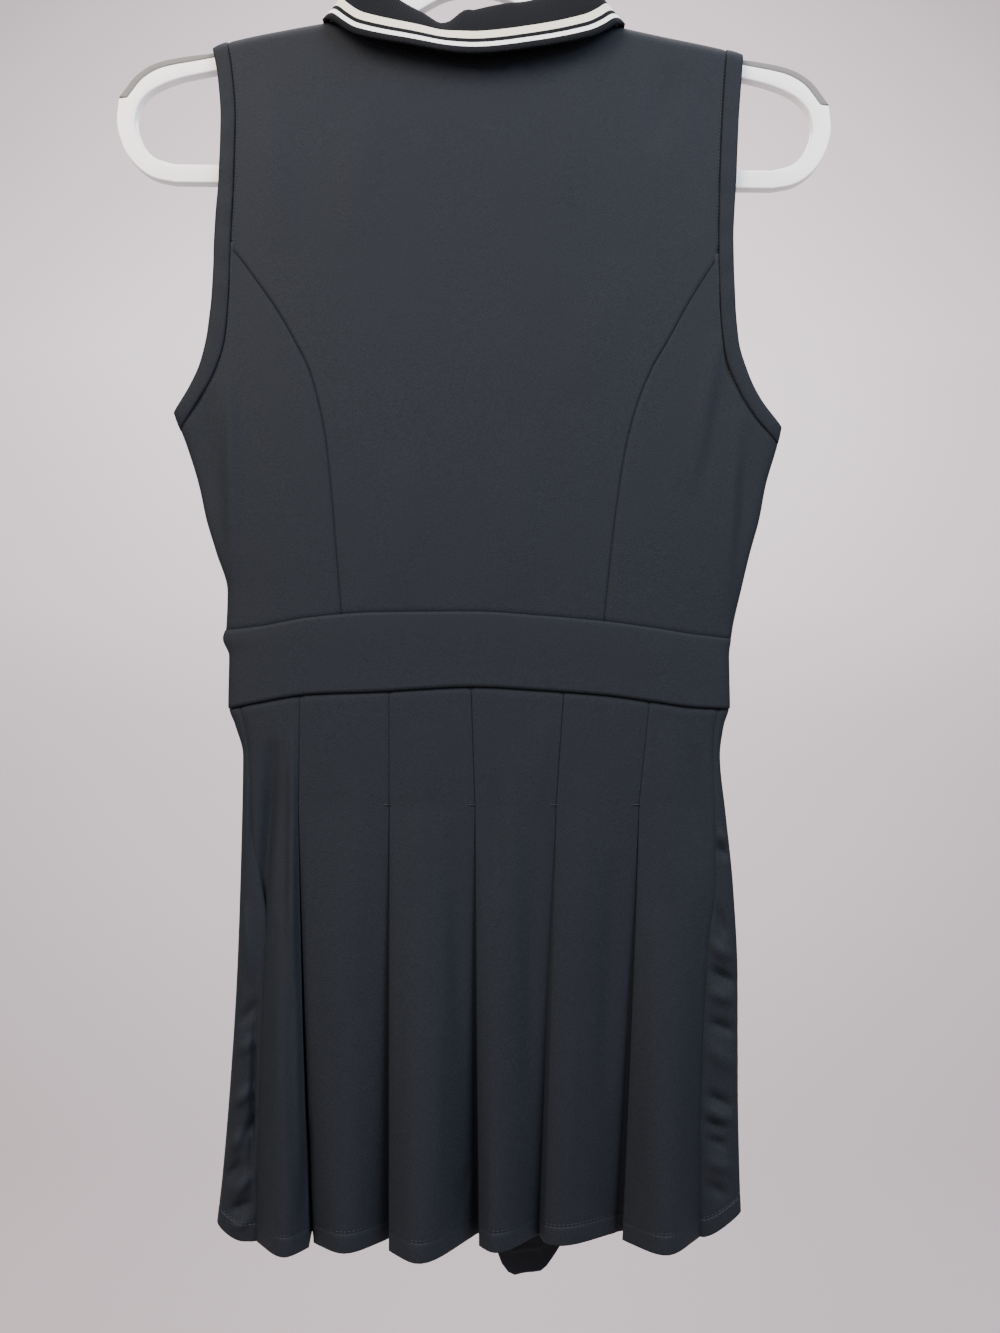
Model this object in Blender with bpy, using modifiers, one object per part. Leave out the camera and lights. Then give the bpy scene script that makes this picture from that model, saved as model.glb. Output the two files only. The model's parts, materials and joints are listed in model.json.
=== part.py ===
"""A sleeveless tennis dress hanging on a plastic hanger, seen from its back along +Y.

The origin is the inside top of the hanger's hook. +X is the viewer's right, +Z is up, and the
dress's back faces -Y. Sizes are in millimetres and are turned to metres when a mesh is made.
"""

import math
from bisect import bisect_right
from collections import namedtuple
from functools import lru_cache

import bpy

MM = 0.001

# Driving dimensions, in millimetres
CLOTH = 1.2             # wall of the jersey panels
BAND_CLOTH = 1.6        # wall of the doubled waistband
BINDING_CLOTH = 1.8     # wall of the folded armhole binding
COLLAR_CLOTH = 1.7      # wall of the rib-knit collar
SEAM = 0.3              # each piece stops this far from its seam line
HALF_GAP = 0.45         # back and front stop this far from the middle at side and shoulder
ARMPIT_EXTRA = 0.5      # and this much further at the armpit, where the cloth turns sharply
HEM_Z = -846.0          # level of the skirt's hem
TACK_Z = -580.0         # level of the bar tacks, where the pleats open
SHOULDER_ROLL = 8.5     # radius of the cloth where it turns over the hanger
NECK_HALF = 82.0        # neck point to the centre line
V_BOTTOM_Z = -200.0     # lowest point of the front V neck
FRONT_SCOOP = 7.0       # how much further the front armhole is cut in
EDGE_POWER = 4.0        # how square the flat sections are at the sides
PRINCESS_TOP_Z = -237.0 # level where the princess seams leave the armholes
WAIST_Z = -466.0        # level of the waist, where the bodice's columns start
FAN_HEIGHT = 300.0      # over this height they fan out to the neck points
PLEAT_TOP = 65.0        # the pleats start this far above the bar tacks
GROOVE_TOP_Z = -500.0   # the stitched-down pleats sink into the skirt from here
GROOVE_FADE = 80.0
GROOVE_DEPTH = 0.9
OPENING_POWER = 1.15    # how slowly the pleats start to open under the tacks
FOLD_INSET = 16.0       # the front's outer pleat panels start this far inside the side folds
CURVE_PULL = 1.3        # how far the collar's section is drawn towards its roll

HANGER_TILT = math.radians(0.6)
FRAME_HALF_DEPTH = 3.8
PAD_HALF_DEPTH = 3.2
BAR_TOP_Z = -184.2
BAR_LOW_Z = -195.6
HOOK_INNER_RADIUS = 20.0
HOOK_WIRE_RADIUS = 3.2
HUB_Z = -60.0

# The outline of the dress below the armholes, at levels down to the hem
Level = namedtuple("Level", "z left right")
OUTLINE = (
    Level(-337, -186.5, 191.5), Level(-347, -182.5, 191), Level(-356, -179, 189),
    Level(-382, -171, 181.5), Level(-403, -166.5, 177.5), Level(-423, -160.5, 172),
    Level(-448, -153.2, 166), Level(-470, -154, 161), Level(-477, -156, 160),
    Level(-488, -152, 158.5), Level(-519, -152.5, 159), Level(-531, -148.5, 155.5),
    Level(-550, -143.5, 153), Level(-586, -144, 156.5), Level(-630, -145, 161),
    Level(-690, -147, 164), Level(-750, -150.5, 164), Level(-806, -155, 165),
    Level(-846, -159.5, 166.5),
)

# Half depth of the hanging dress at levels, from shoulder to hem
Depth = namedtuple("Depth", "z half")
DEPTHS = (
    Depth(-90, 8.5), Depth(-130, 9), Depth(-190, 10.5), Depth(-330, 10), Depth(-420, 9.5),
    Depth(-490, 9), Depth(-580, 10), Depth(-846, 15),
)

# The shoulder line, where the cloth crosses the hanger's arms
Ridge = namedtuple("Ridge", "x z")
RIDGE = (
    Ridge(-165, -111), Ridge(-155.5, -107), Ridge(-113, -98), Ridge(-92, -94.3), Ridge(-82, -92.3),
    Ridge(0, -76), Ridge(82, -95.0), Ridge(92, -97.3), Ridge(115, -102.3), Ridge(159, -111.6),
    Ridge(170, -115),
)

# Armhole from shoulder (0) to armpit (1): its edge and the seam of its binding
Armhole = namedtuple("Armhole", "share left_edge left_seam right_edge right_seam")
ARMHOLES = (
    Armhole(0.00, -161.5, -153.0, 166.7, 156.8), Armhole(0.08, -158.0, -149.8, 165.2, 155.3),
    Armhole(0.20, -156.0, -147.5, 163.2, 153.5), Armhole(0.35, -157.0, -148.2, 161.7, 152.0),
    Armhole(0.50, -159.6, -150.0, 160.0, 151.5), Armhole(0.65, -161.0, -151.3, 161.0, 152.3),
    Armhole(0.77, -163.8, -154.0, 163.2, 155.1), Armhole(0.86, -168.3, -161.0, 169.3, 163.0),
    Armhole(0.93, -175.5, -171.0, 177.5, 173.3), Armhole(1.00, -186.0, -182.5, 190.8, 188.6),
)
# Height of the armhole's edge and seam at the shoulder and at the armpit
Reach = namedtuple("Reach", "edge_top edge_low seam_top seam_low")
REACH = {"left": Reach(-111.5, -337.0, -107.0, -347.5), "right": Reach(-114.5, -346.0, -112.0, -356.0)}

# Princess seams of the back
Princess = namedtuple("Princess", "z left right")
PRINCESS = (
    Princess(-237, -150.2, 154.5), Princess(-244, -144, 150), Princess(-256, -135, 142),
    Princess(-275, -121.5, 130.3), Princess(-293, -111, 120.5), Princess(-312, -101.5, 109.5),
    Princess(-333, -95.5, 101), Princess(-357, -91, 94.5), Princess(-386, -88, 89.6),
    Princess(-440, -83.6, 83.2), Princess(-480, -80.5, 79.5),
)
SIDE_PANEL_TOP = {"left": -240.0, "right": -247.0}

# The back neckline and the waistband's two seams across the body
Neck = namedtuple("Neck", "x z")
BACK_NECK = (
    Neck(-82, -92.2), Neck(-77, -98), Neck(-66, -107.5), Neck(-35, -117.2), Neck(0, -122.3),
    Neck(35, -118.6), Neck(66, -109), Neck(77, -101), Neck(82, -94.9),
)
Waist = namedtuple("Waist", "x top bottom")
WAIST = (
    Waist(-160, -473, -522), Waist(-135, -470.5, -516.5), Waist(-100, -464.5, -511),
    Waist(-60, -461.5, -509.5), Waist(0, -461, -506.5), Waist(40, -463.5, -508.5),
    Waist(80, -467, -511.5), Waist(110, -471, -515.5), Waist(135, -475, -519), Waist(162, -478, -520.5),
)

# Skirt side seams, which lie on the back, and the hem's height across the body
SkirtSeam = namedtuple("SkirtSeam", "z left right")
SKIRT_SEAMS = (
    SkirtSeam(-505, -148, 154), SkirtSeam(-545, -139.5, 148), SkirtSeam(-600, -136.5, 149),
    SkirtSeam(-628, -132.5, 149), SkirtSeam(-660, -128, 145), SkirtSeam(-731, -130, 140.5),
    SkirtSeam(-800, -131.5, 138.5), SkirtSeam(-846, -132, 139),
)
HemPoint = namedtuple("HemPoint", "x z")
HEM = (
    HemPoint(-160, -835), HemPoint(-140, -845), HemPoint(0, HEM_Z), HemPoint(140, HEM_Z),
    HemPoint(167, -831),
)
# The front hem hangs lower in one place
DIP_X, DIP_HALF, DIP_DEPTH = 30.0, 30.0, 38.0

# Pleat lines at waist, tack and hem, with the depth of the furrow at the hem
Pleat = namedtuple("Pleat", "waist tack hem furrow")
BACK_PLEATS = (
    Pleat(-107.6, -108.2, -97.6, 2.0), Pleat(-52.4, -52.1, -51.0, 6.0), Pleat(-1.4, 0.8, 2.2, 2.0),
    Pleat(55.4, 50.8, 41.9, 2.0), Pleat(108.7, 101.9, 89.7, 1.5),
)
FRONT_PLEATS = (
    Pleat(-106, -106, -98, 8), Pleat(-53, -53, -50, 8), Pleat(0, 0, 1, 8.5), Pleat(53, 52, 47, 8),
    Pleat(106, 104, 95, 9),
)
# Panels between the pleats: depth at the hem at the left edge, at the peak and at the right edge
Panel = namedtuple("Panel", "left peak peak_at right")
BACK_PANELS = (
    Panel(17.0, 35.0, 0.62, 27.0), Panel(12.0, 30.0, 0.45, 13.0), Panel(27.0, 41.0, 0.36, 7.0),
    Panel(21.0, 28.5, 0.25, 6.0), Panel(18.0, 20.5, 0.18, 4.0), Panel(14.0, 31.5, 0.50, 10.0),
)
FRONT_PANELS = (
    Panel(12.0, 22.0, 0.50, 18.0), Panel(16.0, 24.0, 0.40, 15.0), Panel(18.0, 26.0, 0.55, 14.0),
    Panel(17.0, 23.0, 0.40, 16.0), Panel(15.0, 25.0, 0.60, 17.0), Panel(14.0, 21.0, 0.50, 12.0),
)
FURROW_HALF_TACK, FURROW_HALF_HEM = 1.6, 4.2
STRIP_SHARES = (1.0, 0.75, 0.5, 0.28, 0.12, 0.035, 0.008)
# Round the side folds to the front: how far inside the fold, and the share of the depth there
Turn = namedtuple("Turn", "inset share")
TURNS = (Turn(0.7, 0.42), Turn(3.0, 0.62), Turn(8.0, 0.8))

# The collar, from the back centre round to the end of the V: where its seam lies, how the stand
# leans and how high it rolls, and where the leaf's edge ends, all measured from the seam
Section = namedtuple("Section", "x lean rise out turn leaf_out leaf_side leaf_drop")
COLLAR = (
    Section(0.0, 0.0, 26.0, 3.0, 0, 13.5, 0.0, -1.0), Section(35.0, -2.0, 31.5, 3.0, 5, 13.5, 2.0, -1.0),
    Section(66.0, -8.0, 32.0, 2.5, 25, 11.0, 6.0, -2.5), Section(77.0, -10.0, 28.0, 1.5, 50, 7.5, 10.0, -1.8),
    Section(80.2, -11.0, 23.5, 0.0, 90, 0.8, 14.0, 2.4), Section(76.0, -10.0, 28.0, -1.0, 40, 8.0, 17.0, 2.2),
    Section(52.0, -9.0, 20.0, 3.0, 8, 9.0, 21.0, 5.0), Section(30.0, -7.0, 15.0, 3.5, 0, 8.5, 22.0, 7.0),
    Section(8.0, -5.0, 11.0, 3.5, 0, 8.0, 22.0, 9.0),
)
SHOULDER_STATION = 4.0  # from here on a section lies on the front neckline
ROLL_GAP = 5.0
NECK_POINT_LIFT = 1.6   # the stand starts this much higher where it crosses the shoulder

# Hanger outlines, right half, before the tilt
ARM_TOP = ((0, -60), (12, -62.5), (30, -71.5), (60, -88), (86, -101.5), (110, -106.7), (169, -118.9),
           (194, -124), (205.5, -130.3), (215.8, -142.9))
END_OUTER = ((221, -143.6), (222.3, -157.5), (219, -172), (210, -185.5), (198, -193.2), (186, BAR_LOW_Z))
LOOP_INNER = ((0, -75), (14, -77), (40, -90.5), (88, -112.8), (110, -117), (167, -127.2), (181, -130.3),
              (194, -135), (203, -140.7), (209, -149), (210.6, -158), (207, -170), (198, -180.5),
              (186, BAR_TOP_Z))
PAD_TOP = ((96, -99.6), (150, -111.2), (165, -115), (173, -115.9), (193.5, -119.7), (202.5, -123.3),
           (210.8, -129.4), (217.5, -138), (221, -142.6))
PAD_START_X = 96.0
PAD_GAP = 0.35


def clear_scene():
    """Remove everything that the file holds."""
    for item in list(bpy.data.objects):
        bpy.data.objects.remove(item)


@lru_cache(maxsize=None)
def tangents(places, values):
    """Slope at each place of a curve that never overshoots its values."""
    steps = [(v1 - v0) / (p1 - p0) for p0, p1, v0, v1 in zip(places, places[1:], values, values[1:])]
    inner = [0.0 if a * b <= 0 else 2 * a * b / (a + b) for a, b in zip(steps, steps[1:])]
    return [steps[0]] + inner + [steps[-1]]


def smooth(places, values, at):
    """Value at a place on a smooth curve through the given values; both are tuples."""
    if at <= places[0]:
        return values[0]
    if at >= places[-1]:
        return values[-1]
    slopes = tangents(places, values)
    i = bisect_right(places, at) - 1
    width = places[i + 1] - places[i]
    t = (at - places[i]) / width
    return (
        (1 + 2 * t) * (1 - t) ** 2 * values[i] + t * (1 - t) ** 2 * width * slopes[i]
        + t * t * (3 - 2 * t) * values[i + 1] + t * t * (t - 1) * width * slopes[i + 1]
    )


@lru_cache(maxsize=None)
def columns(table, place, column):
    """Two columns of a table, with the places rising."""
    rows = sorted(table, key=lambda row: getattr(row, place))
    return tuple(getattr(r, place) for r in rows), tuple(getattr(r, column) for r in rows)


def read(table, place, column, at):
    """A named column of a table at a place."""
    return smooth(*columns(table, place, column), at)


def lerp(a, b, t):
    return a + (b - a) * t


def outline(side, z):
    """X of the dress's outline, kept at the armpit's width above it."""
    return read(OUTLINE, "z", side, z)


def ridge(x):
    return read(RIDGE, "x", "z", x)


def armhole(side, edge, share, front=False):
    """X and Z of the armhole's edge or seam at a share of the way down."""
    reach = REACH[side]
    x = read(ARMHOLES, "share", f"{side}_{edge}", share)
    top, low = (reach.edge_top, reach.edge_low) if edge == "edge" else (reach.seam_top, reach.seam_low)
    if front:
        x += (1 if side == "left" else -1) * FRONT_SCOOP * math.sin(math.pi * share) ** 2
    return x, lerp(top, low, share)


def armhole_seam_x(side, z, front=False):
    reach = REACH[side]
    share = (reach.seam_top - z) / (reach.seam_top - reach.seam_low)
    return armhole(side, "seam", min(max(share, 0.0), 1.0), front)[0]


def flat_depth(x, z):
    """Half depth of the hanging dress at a point of the back or front, before any pleat."""
    left, right = outline("left", z), outline("right", z)
    share = min(1.0, abs(2 * x - left - right) / (right - left))
    body = read(DEPTHS, "z", "half", z) * (1 - share ** EDGE_POWER) ** (1 / EDGE_POWER)
    below = max(0.0, ridge(x) - z)
    roll = min(1.0, below / SHOULDER_ROLL)
    return max(body * math.sqrt(1 - (1 - roll) ** 2), HALF_GAP)


def material(name, color, roughness, metallic=0.0):
    """A plain Principled material."""
    finish = bpy.data.materials.new(name)
    finish.use_nodes = True
    shader = finish.node_tree.nodes["Principled BSDF"]
    shader.inputs["Base Color"].default_value = (*color, 1.0)
    shader.inputs["Roughness"].default_value = roughness
    shader.inputs["Metallic"].default_value = metallic
    return finish


def sheet(name, rows, thickness, finish, closed=False):
    """A cloth wall through rows of points, each row the same length, thickened on both sides."""
    points = [tuple(c * MM for c in point) for row in rows for point in row]
    wide, high = len(rows[0]), len(rows)
    faces = []
    for j in range(high - 1):
        for i in range(wide if closed else wide - 1):
            k = (i + 1) % wide
            faces.append((j * wide + i, j * wide + k, (j + 1) * wide + k, (j + 1) * wide + i))
    mesh = bpy.data.meshes.new(name)
    mesh.from_pydata(points, [], faces)
    mesh.shade_smooth()
    item = bpy.data.objects.new(name, mesh)
    COLLECTION.objects.link(item)
    mesh.materials.append(finish)
    wall = item.modifiers.new("wall", "SOLIDIFY")
    wall.thickness = thickness * MM
    wall.offset = 0.0
    wall.use_even_offset = True
    return item


def settle(across, low, top, v):
    """X and Z where a column, read by Z, meets a row between two curves read by X."""
    x, z = 0.0, lerp(low(0.0), top(0.0), v)
    for _ in range(12):
        x = across(z)
        z = lerp(low(x), top(x), v)
    return x, z


HALF_COLUMNS = (0.0, 0.1, 0.2, 0.29, 0.37, 0.435, 0.472, 0.5, 0.56, 0.67, 0.79, 0.9, 1.0)
NECK_COLUMNS = tuple(-u for u in HALF_COLUMNS[:0:-1]) + HALF_COLUMNS
# Rows up each panel, closer where its edge bends sharply
BACK_ROWS = (0.0, 0.16, 0.29, 0.36, 0.42, 0.47, 0.52, 0.57, 0.61, 0.64, 0.72, 0.82, 0.9, 0.95)
FRONT_ROWS = (0.0, 0.12, 0.23, 0.31, 0.34, 0.365, 0.39, 0.42, 0.45, 0.49, 0.54, 0.62, 0.7, 0.79, 0.88, 0.94)
SIDE_ROWS = (0.0, 0.12, 0.24, 0.36, 0.44, 0.5, 0.54, 0.59, 0.64, 0.68, 0.72, 0.77, 0.83, 0.91, 1.0)


def neck_column(left, right, u):
    """A column of a panel under the neck: u runs -1 to 1, and at half way it meets the neck point."""
    def across(z):
        neck = lerp(0.5 * NECK_HALF, NECK_HALF, min(1.0, max(0.0, (z - WAIST_Z) / FAN_HEIGHT)))
        if abs(u) <= 0.5:
            return 2 * u * neck
        return lerp(-neck, left(z), -2 * u - 1) if u < 0 else lerp(neck, right(z), 2 * u - 1)
    return across


def up_to_shoulder(shares, length=360.0):
    """Shares up a panel, with more where the cloth turns over the shoulder."""
    angles = (90.0, 65.0, 42.0, 20.0, 0.0)
    return list(shares) + [1 - SHOULDER_ROLL * (1 - math.cos(math.radians(a))) / length for a in angles]


def bodice_low(x):
    return read(WAIST, "x", "top", x) + SEAM


def back_top(x):
    if abs(x) < NECK_HALF:
        return min(ridge(x), read(BACK_NECK, "x", "z", x) - SEAM)
    return ridge(x) - 0.002


def front_neck(x):
    return lerp(V_BOTTOM_Z, ridge(math.copysign(NECK_HALF, x)), min(1.0, abs(x) / NECK_HALF)) - SEAM


def front_top(x):
    return min(ridge(x) - 0.002, front_neck(x)) if abs(x) < NECK_HALF else ridge(x) - 0.002


def armpit_gap(side, z):
    """Clearance from the armhole seam, wider where the cloth turns sharply at the armpit."""
    reach = REACH[side]
    share = min(1.0, (reach.seam_top - z) / (reach.seam_top - reach.seam_low))
    return SEAM + ARMPIT_EXTRA * max(0.0, share) ** 12


def body_left(z, front=False):
    if z > REACH["left"].seam_low:
        return armhole_seam_x("left", z, front) + armpit_gap("left", z)
    return outline("left", z)


def body_right(z, front=False):
    if z > REACH["right"].seam_low:
        return armhole_seam_x("right", z, front) - armpit_gap("right", z)
    return outline("right", z)


def bodice_back_center():
    """The centre back, up to the shoulders and the neckline."""
    def left(z):
        seam = armhole_seam_x("left", z)
        return SEAM + (max(seam, read(PRINCESS, "z", "left", z)) if z < PRINCESS_TOP_Z else seam)

    def right(z):
        seam = armhole_seam_x("right", z)
        return (min(seam, read(PRINCESS, "z", "right", z)) if z < PRINCESS_TOP_Z else seam) - SEAM

    rows = []
    for v in up_to_shoulder(BACK_ROWS):
        row = []
        for u in NECK_COLUMNS:
            x, z = settle(neck_column(left, right, u), bodice_low, back_top, v)
            row.append((x, -flat_depth(x, z), z))
        rows.append(row)
    sheet("bodice_back_center", rows, CLOTH, JERSEY)


def bodice_back_side(side):
    """A side back panel, between the princess seam and the side seam."""
    sign = -1 if side == "left" else 1
    outer = body_left if side == "left" else body_right

    def inner(z):
        return read(PRINCESS, "z", side, z) + sign * SEAM

    rows = []
    for v in SIDE_ROWS:
        row = []
        for u in (0.0, 0.006, 0.03, 0.09, 0.2, 0.4, 0.7, 1.0):
            x, z = settle(lambda z: lerp(outer(z), inner(z), u), bodice_low,
                          lambda _: SIDE_PANEL_TOP[side], v)
            row.append((x, -flat_depth(x, z), z))
        rows.append(row if side == "left" else row[::-1])
    sheet(f"bodice_back_side_{side}", rows, CLOTH, JERSEY)


def bodice_front():
    """The front in one piece, with an open V neck."""
    turn = (0.94, 0.98, 0.996)
    rows = []
    for v in up_to_shoulder(FRONT_ROWS):
        row = []
        for u in sorted(NECK_COLUMNS + turn + tuple(-u for u in turn), reverse=True):
            across = neck_column(lambda z: body_left(z, True), lambda z: body_right(z, True), u)
            x, z = settle(across, bodice_low, front_top, v)
            row.append((x, flat_depth(x, z), z))
        rows.append(row)
    sheet("bodice_front", rows, CLOTH, JERSEY)


def armhole_binding(side):
    """One ring of binding, down the back of the armhole and up its front."""
    sign = -1 if side == "left" else 1
    down = [0.0, 0.004, 0.012, 0.022, 0.036] + [lerp(0.06, 0.93, i / 12) for i in range(13)]
    down += [0.96, 0.98, 0.991, 0.997, 1.0]
    ring = [(share, False) for share in down] + [(share, True) for share in down[-2:0:-1]]
    rows = []
    for across in (0.0, 0.5, 1.0):
        row = []
        for share, front in ring:
            edge_x, edge_z = armhole(side, "edge", share, front)
            seam_x, seam_z = armhole(side, "seam", share, front)
            seam_x += sign * SEAM
            seam_z += 1.2 * SEAM * share ** 8
            x, z = lerp(edge_x, seam_x, across), lerp(edge_z, seam_z, across)
            if share == 0.0:
                z = ridge(x)
            depth = flat_depth(x, z)
            depth = 0.0 if share in (0.0, 1.0) else depth
            row.append((x, depth if front else -depth, z))
        rows.append(row)
    sheet(f"armhole_binding_{side}", rows, BINDING_CLOTH, RIB, closed=True)


def waistband(name, facing):
    """Back or front waistband, from side seam to side seam."""
    half = (0.0, 0.0012, 0.006, 0.02, 0.05) + tuple(0.05 * i for i in range(2, 11))
    rows = []
    for v in (0.0, 0.33, 0.67, 1.0):
        row = []
        for u in half + tuple(1 - u for u in half[-2::-1]):
            x, z = settle(lambda z: lerp(outline("left", z), outline("right", z), u),
                          lambda x: read(WAIST, "x", "bottom", x) + SEAM,
                          lambda x: read(WAIST, "x", "top", x) - SEAM, v)
            row.append((x, facing * flat_depth(x, z), z))
        rows.append(row if facing < 0 else row[::-1])
    sheet(name, rows, BAND_CLOTH, JERSEY)


def opening(z):
    """How far the pleats have opened at a level, from 0 at the tacks to 1 at the hem."""
    return max(0.0, (TACK_Z - z) / (TACK_Z - HEM_Z)) ** OPENING_POWER


def pleat_x(pleat, z):
    if z > TACK_Z:
        return lerp(pleat.tack, pleat.waist, min(1.0, (z - TACK_Z) / PLEAT_TOP))
    return lerp(pleat.tack, pleat.hem, opening(z))


def panel_depth(panel, t):
    return smooth((0.0, panel.peak_at, 1.0), (panel.left, panel.peak, panel.right), t)


def pleated(pleats, panels, seam_left, seam_right, z, panel_shares):
    """X and depth at one level, across panels and the furrows between them."""
    half = lerp(FURROW_HALF_TACK, FURROW_HALF_HEM, opening(z))
    lines = [seam_left(z)] + [pleat_x(p, z) for p in pleats] + [seam_right(z)]
    points = []
    for k, panel in enumerate(panels):
        start = lines[k] + (half if k else 0.0)
        end = lines[k + 1] - (half if k < len(pleats) else 0.0)
        for t in panel_shares:
            x = lerp(start, end, t)
            points.append((x, lerp(flat_depth(x, z), panel_depth(panel, t), opening(z))))
        if k < len(pleats):
            for offset in (-0.3, 0.3):
                x = lines[k + 1] + offset * half
                groove = GROOVE_DEPTH * min(1.0, max(0.0, (GROOVE_TOP_Z - z) / GROOVE_FADE))
                tacked = flat_depth(x, z) - groove
                points.append((x, lerp(tacked, pleats[k].furrow, opening(z))))
    return points


def skirt_rows(section, low, count):
    """Rows of points from hem to waist, where each section is read at its own height."""
    shares = [lerp(0.0, 0.72, i / (count - 4)) for i in range(count - 3)] + [0.8, 0.9, 1.0]
    rows = []
    for v in shares:
        row = []
        guess = section(lerp(HEM_Z, GROOVE_TOP_Z, v))
        for i, point in enumerate(guess):
            x, z = point[0], 0.0
            for _ in range(5):
                z = lerp(low(x), read(WAIST, "x", "bottom", x) - SEAM, v)
                x = section(z)[i][0]
            row.append((x, section(z)[i][1], z))
        rows.append(row)
    return rows


def hem(x):
    return read(HEM, "x", "z", x)


def front_hem(x):
    return hem(x) - DIP_DEPTH * math.exp(-(((x - DIP_X) / DIP_HALF) ** 2))


def back_seam(side, z):
    return read(SKIRT_SEAMS, "z", side, z)


def strip_depth(side, share, z):
    """Depth of the wrapped strip: its seam's depth falling to nothing at the fold."""
    x = lerp(outline(side, z), back_seam(side, z), share)
    seam_depth = BACK_PANELS[0].left if side == "left" else BACK_PANELS[-1].right
    round_off = (1 - (1 - share) ** EDGE_POWER) ** (1 / EDGE_POWER)
    return x, lerp(flat_depth(x, z), seam_depth * round_off, opening(z))


def skirt_back():
    shares = (0.0, 0.13, 0.36, 0.62, 0.86, 1.0)

    def section(z):
        flat = pleated(BACK_PLEATS, BACK_PANELS, lambda z: back_seam("left", z) + SEAM,
                       lambda z: back_seam("right", z) - SEAM, z, shares)
        return [(x, -depth) for x, depth in flat]

    sheet("skirt_back", skirt_rows(section, hem, 10), CLOTH, JERSEY)


def skirt_front():
    """The front skirt, from the left seam on the back, round the front, to the right seam."""
    shares = (0.0, 0.2, 0.5, 0.8, 1.0)

    def edge_columns(side, z):
        return [strip_depth(side, share, z) for share in STRIP_SHARES]

    def section(z):
        left, right = edge_columns("left", z), edge_columns("right", z)
        left[0] = (left[0][0] - SEAM, left[0][1])
        right[0] = (right[0][0] + SEAM, right[0][1])
        fold_left, fold_right = outline("left", z), outline("right", z)
        turn = opening(z)
        start, end = FRONT_PANELS[0].left, FRONT_PANELS[-1].right
        front = pleated(FRONT_PLEATS, FRONT_PANELS, lambda z: fold_left + FOLD_INSET,
                        lambda z: fold_right - FOLD_INSET, z, shares)
        points = [(x, -depth) for x, depth in left] + [(fold_left, 0.0)]
        for inset, share in TURNS:
            x = fold_left + inset
            points.append((x, lerp(flat_depth(x, z), start * share, turn)))
        points += front
        for inset, share in TURNS[::-1]:
            x = fold_right - inset
            points.append((x, lerp(flat_depth(x, z), end * share, turn)))
        points += [(fold_right, 0.0)] + [(x, -depth) for x, depth in right[::-1]]
        return points

    rows = skirt_rows(section, hem, 10)
    wide = len(rows[0])
    edge = len(STRIP_SHARES)
    for j, row in enumerate(rows):
        for i in range(edge + 1, wide - edge - 1):
            x, y, z = row[i]
            reach = (read(WAIST, "x", "bottom", x) - z) / (read(WAIST, "x", "bottom", x) - HEM_Z)
            row[i] = (x, y, z + (front_hem(x) - hem(x)) * max(0.0, reach) ** 3)
    sheet("skirt_front", [row[::-1] for row in rows], CLOTH, JERSEY)


def collar_seam(side, x, front):
    """The seam's point on the back or front neckline."""
    signed = side * x
    lift = NECK_POINT_LIFT * max(0.0, 1 - (NECK_HALF - x) / 8.0)
    if front:
        z = front_neck(signed) + 5 * SEAM
        return signed, flat_depth(signed, z), z + lift
    z = read(BACK_NECK, "x", "z", signed) + 3.5 * SEAM
    return signed, -flat_depth(signed, z), z + lift


def collar_section(side, at):
    """Points across the collar, up the stand, over the roll and down the leaf."""
    places = tuple(range(len(COLLAR)))

    def sized(column):
        return smooth(places, tuple(getattr(s, column) for s in COLLAR), at)

    front = at >= SHOULDER_STATION
    seam = collar_seam(side, sized("x"), front)
    facing = 1.0 if front else -1.0
    roll = (seam[0] + side * sized("lean"), seam[1] + facing * sized("out"), seam[2] + sized("rise"))
    leaf = (seam[0] + side * sized("leaf_side"), seam[1] + facing * sized("leaf_out"),
            seam[2] + sized("leaf_drop"))
    turn = math.radians(sized("turn"))
    spread = (side * ROLL_GAP * math.sin(turn), facing * ROLL_GAP * math.cos(turn), 0.0)
    first = [s + CURVE_PULL * (r - s) for s, r in zip(seam, roll)]
    last = [e + CURVE_PULL * (r + d - e) for e, r, d in zip(leaf, roll, spread)]
    points = []
    for t in (0.0, 0.16, 0.32, 0.45, 0.57, 0.7, 0.85, 1.0):
        weights = ((1 - t) ** 3, 3 * t * (1 - t) ** 2, 3 * t * t * (1 - t), t ** 3)
        points.append(tuple(sum(w * p[axis] for w, p in zip(weights, (seam, first, last, leaf)))
                            for axis in range(3)))
    return points


def collar():
    stations = [i / 3 for i in range(3 * (len(COLLAR) - 1) + 1)]
    sections = [collar_section(-1, at) for at in stations[:0:-1]] + [collar_section(1, at) for at in stations]
    rows = [[section[k] for section in sections] for k in range(len(sections[0]))]
    sheet("collar", rows, COLLAR_CLOTH, RIB)


def bend(points, steps=4):
    """Points along a smooth curve through the given ones."""
    run = [0.0]
    for (x0, z0), (x1, z1) in zip(points, points[1:]):
        run.append(run[-1] + math.hypot(x1 - x0, z1 - z0))
    run, xs, zs = tuple(run), tuple(p[0] for p in points), tuple(p[1] for p in points)
    places = []
    for a, b in zip(run, run[1:]):
        count = steps if b - a < 30 else 1
        places += [lerp(a, b, i / count) for i in range(count)]
    return [(smooth(run, xs, at), smooth(run, zs, at)) for at in places + [run[-1]]]


def tilted(x, z):
    return x, z - x * math.tan(HANGER_TILT)


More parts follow.
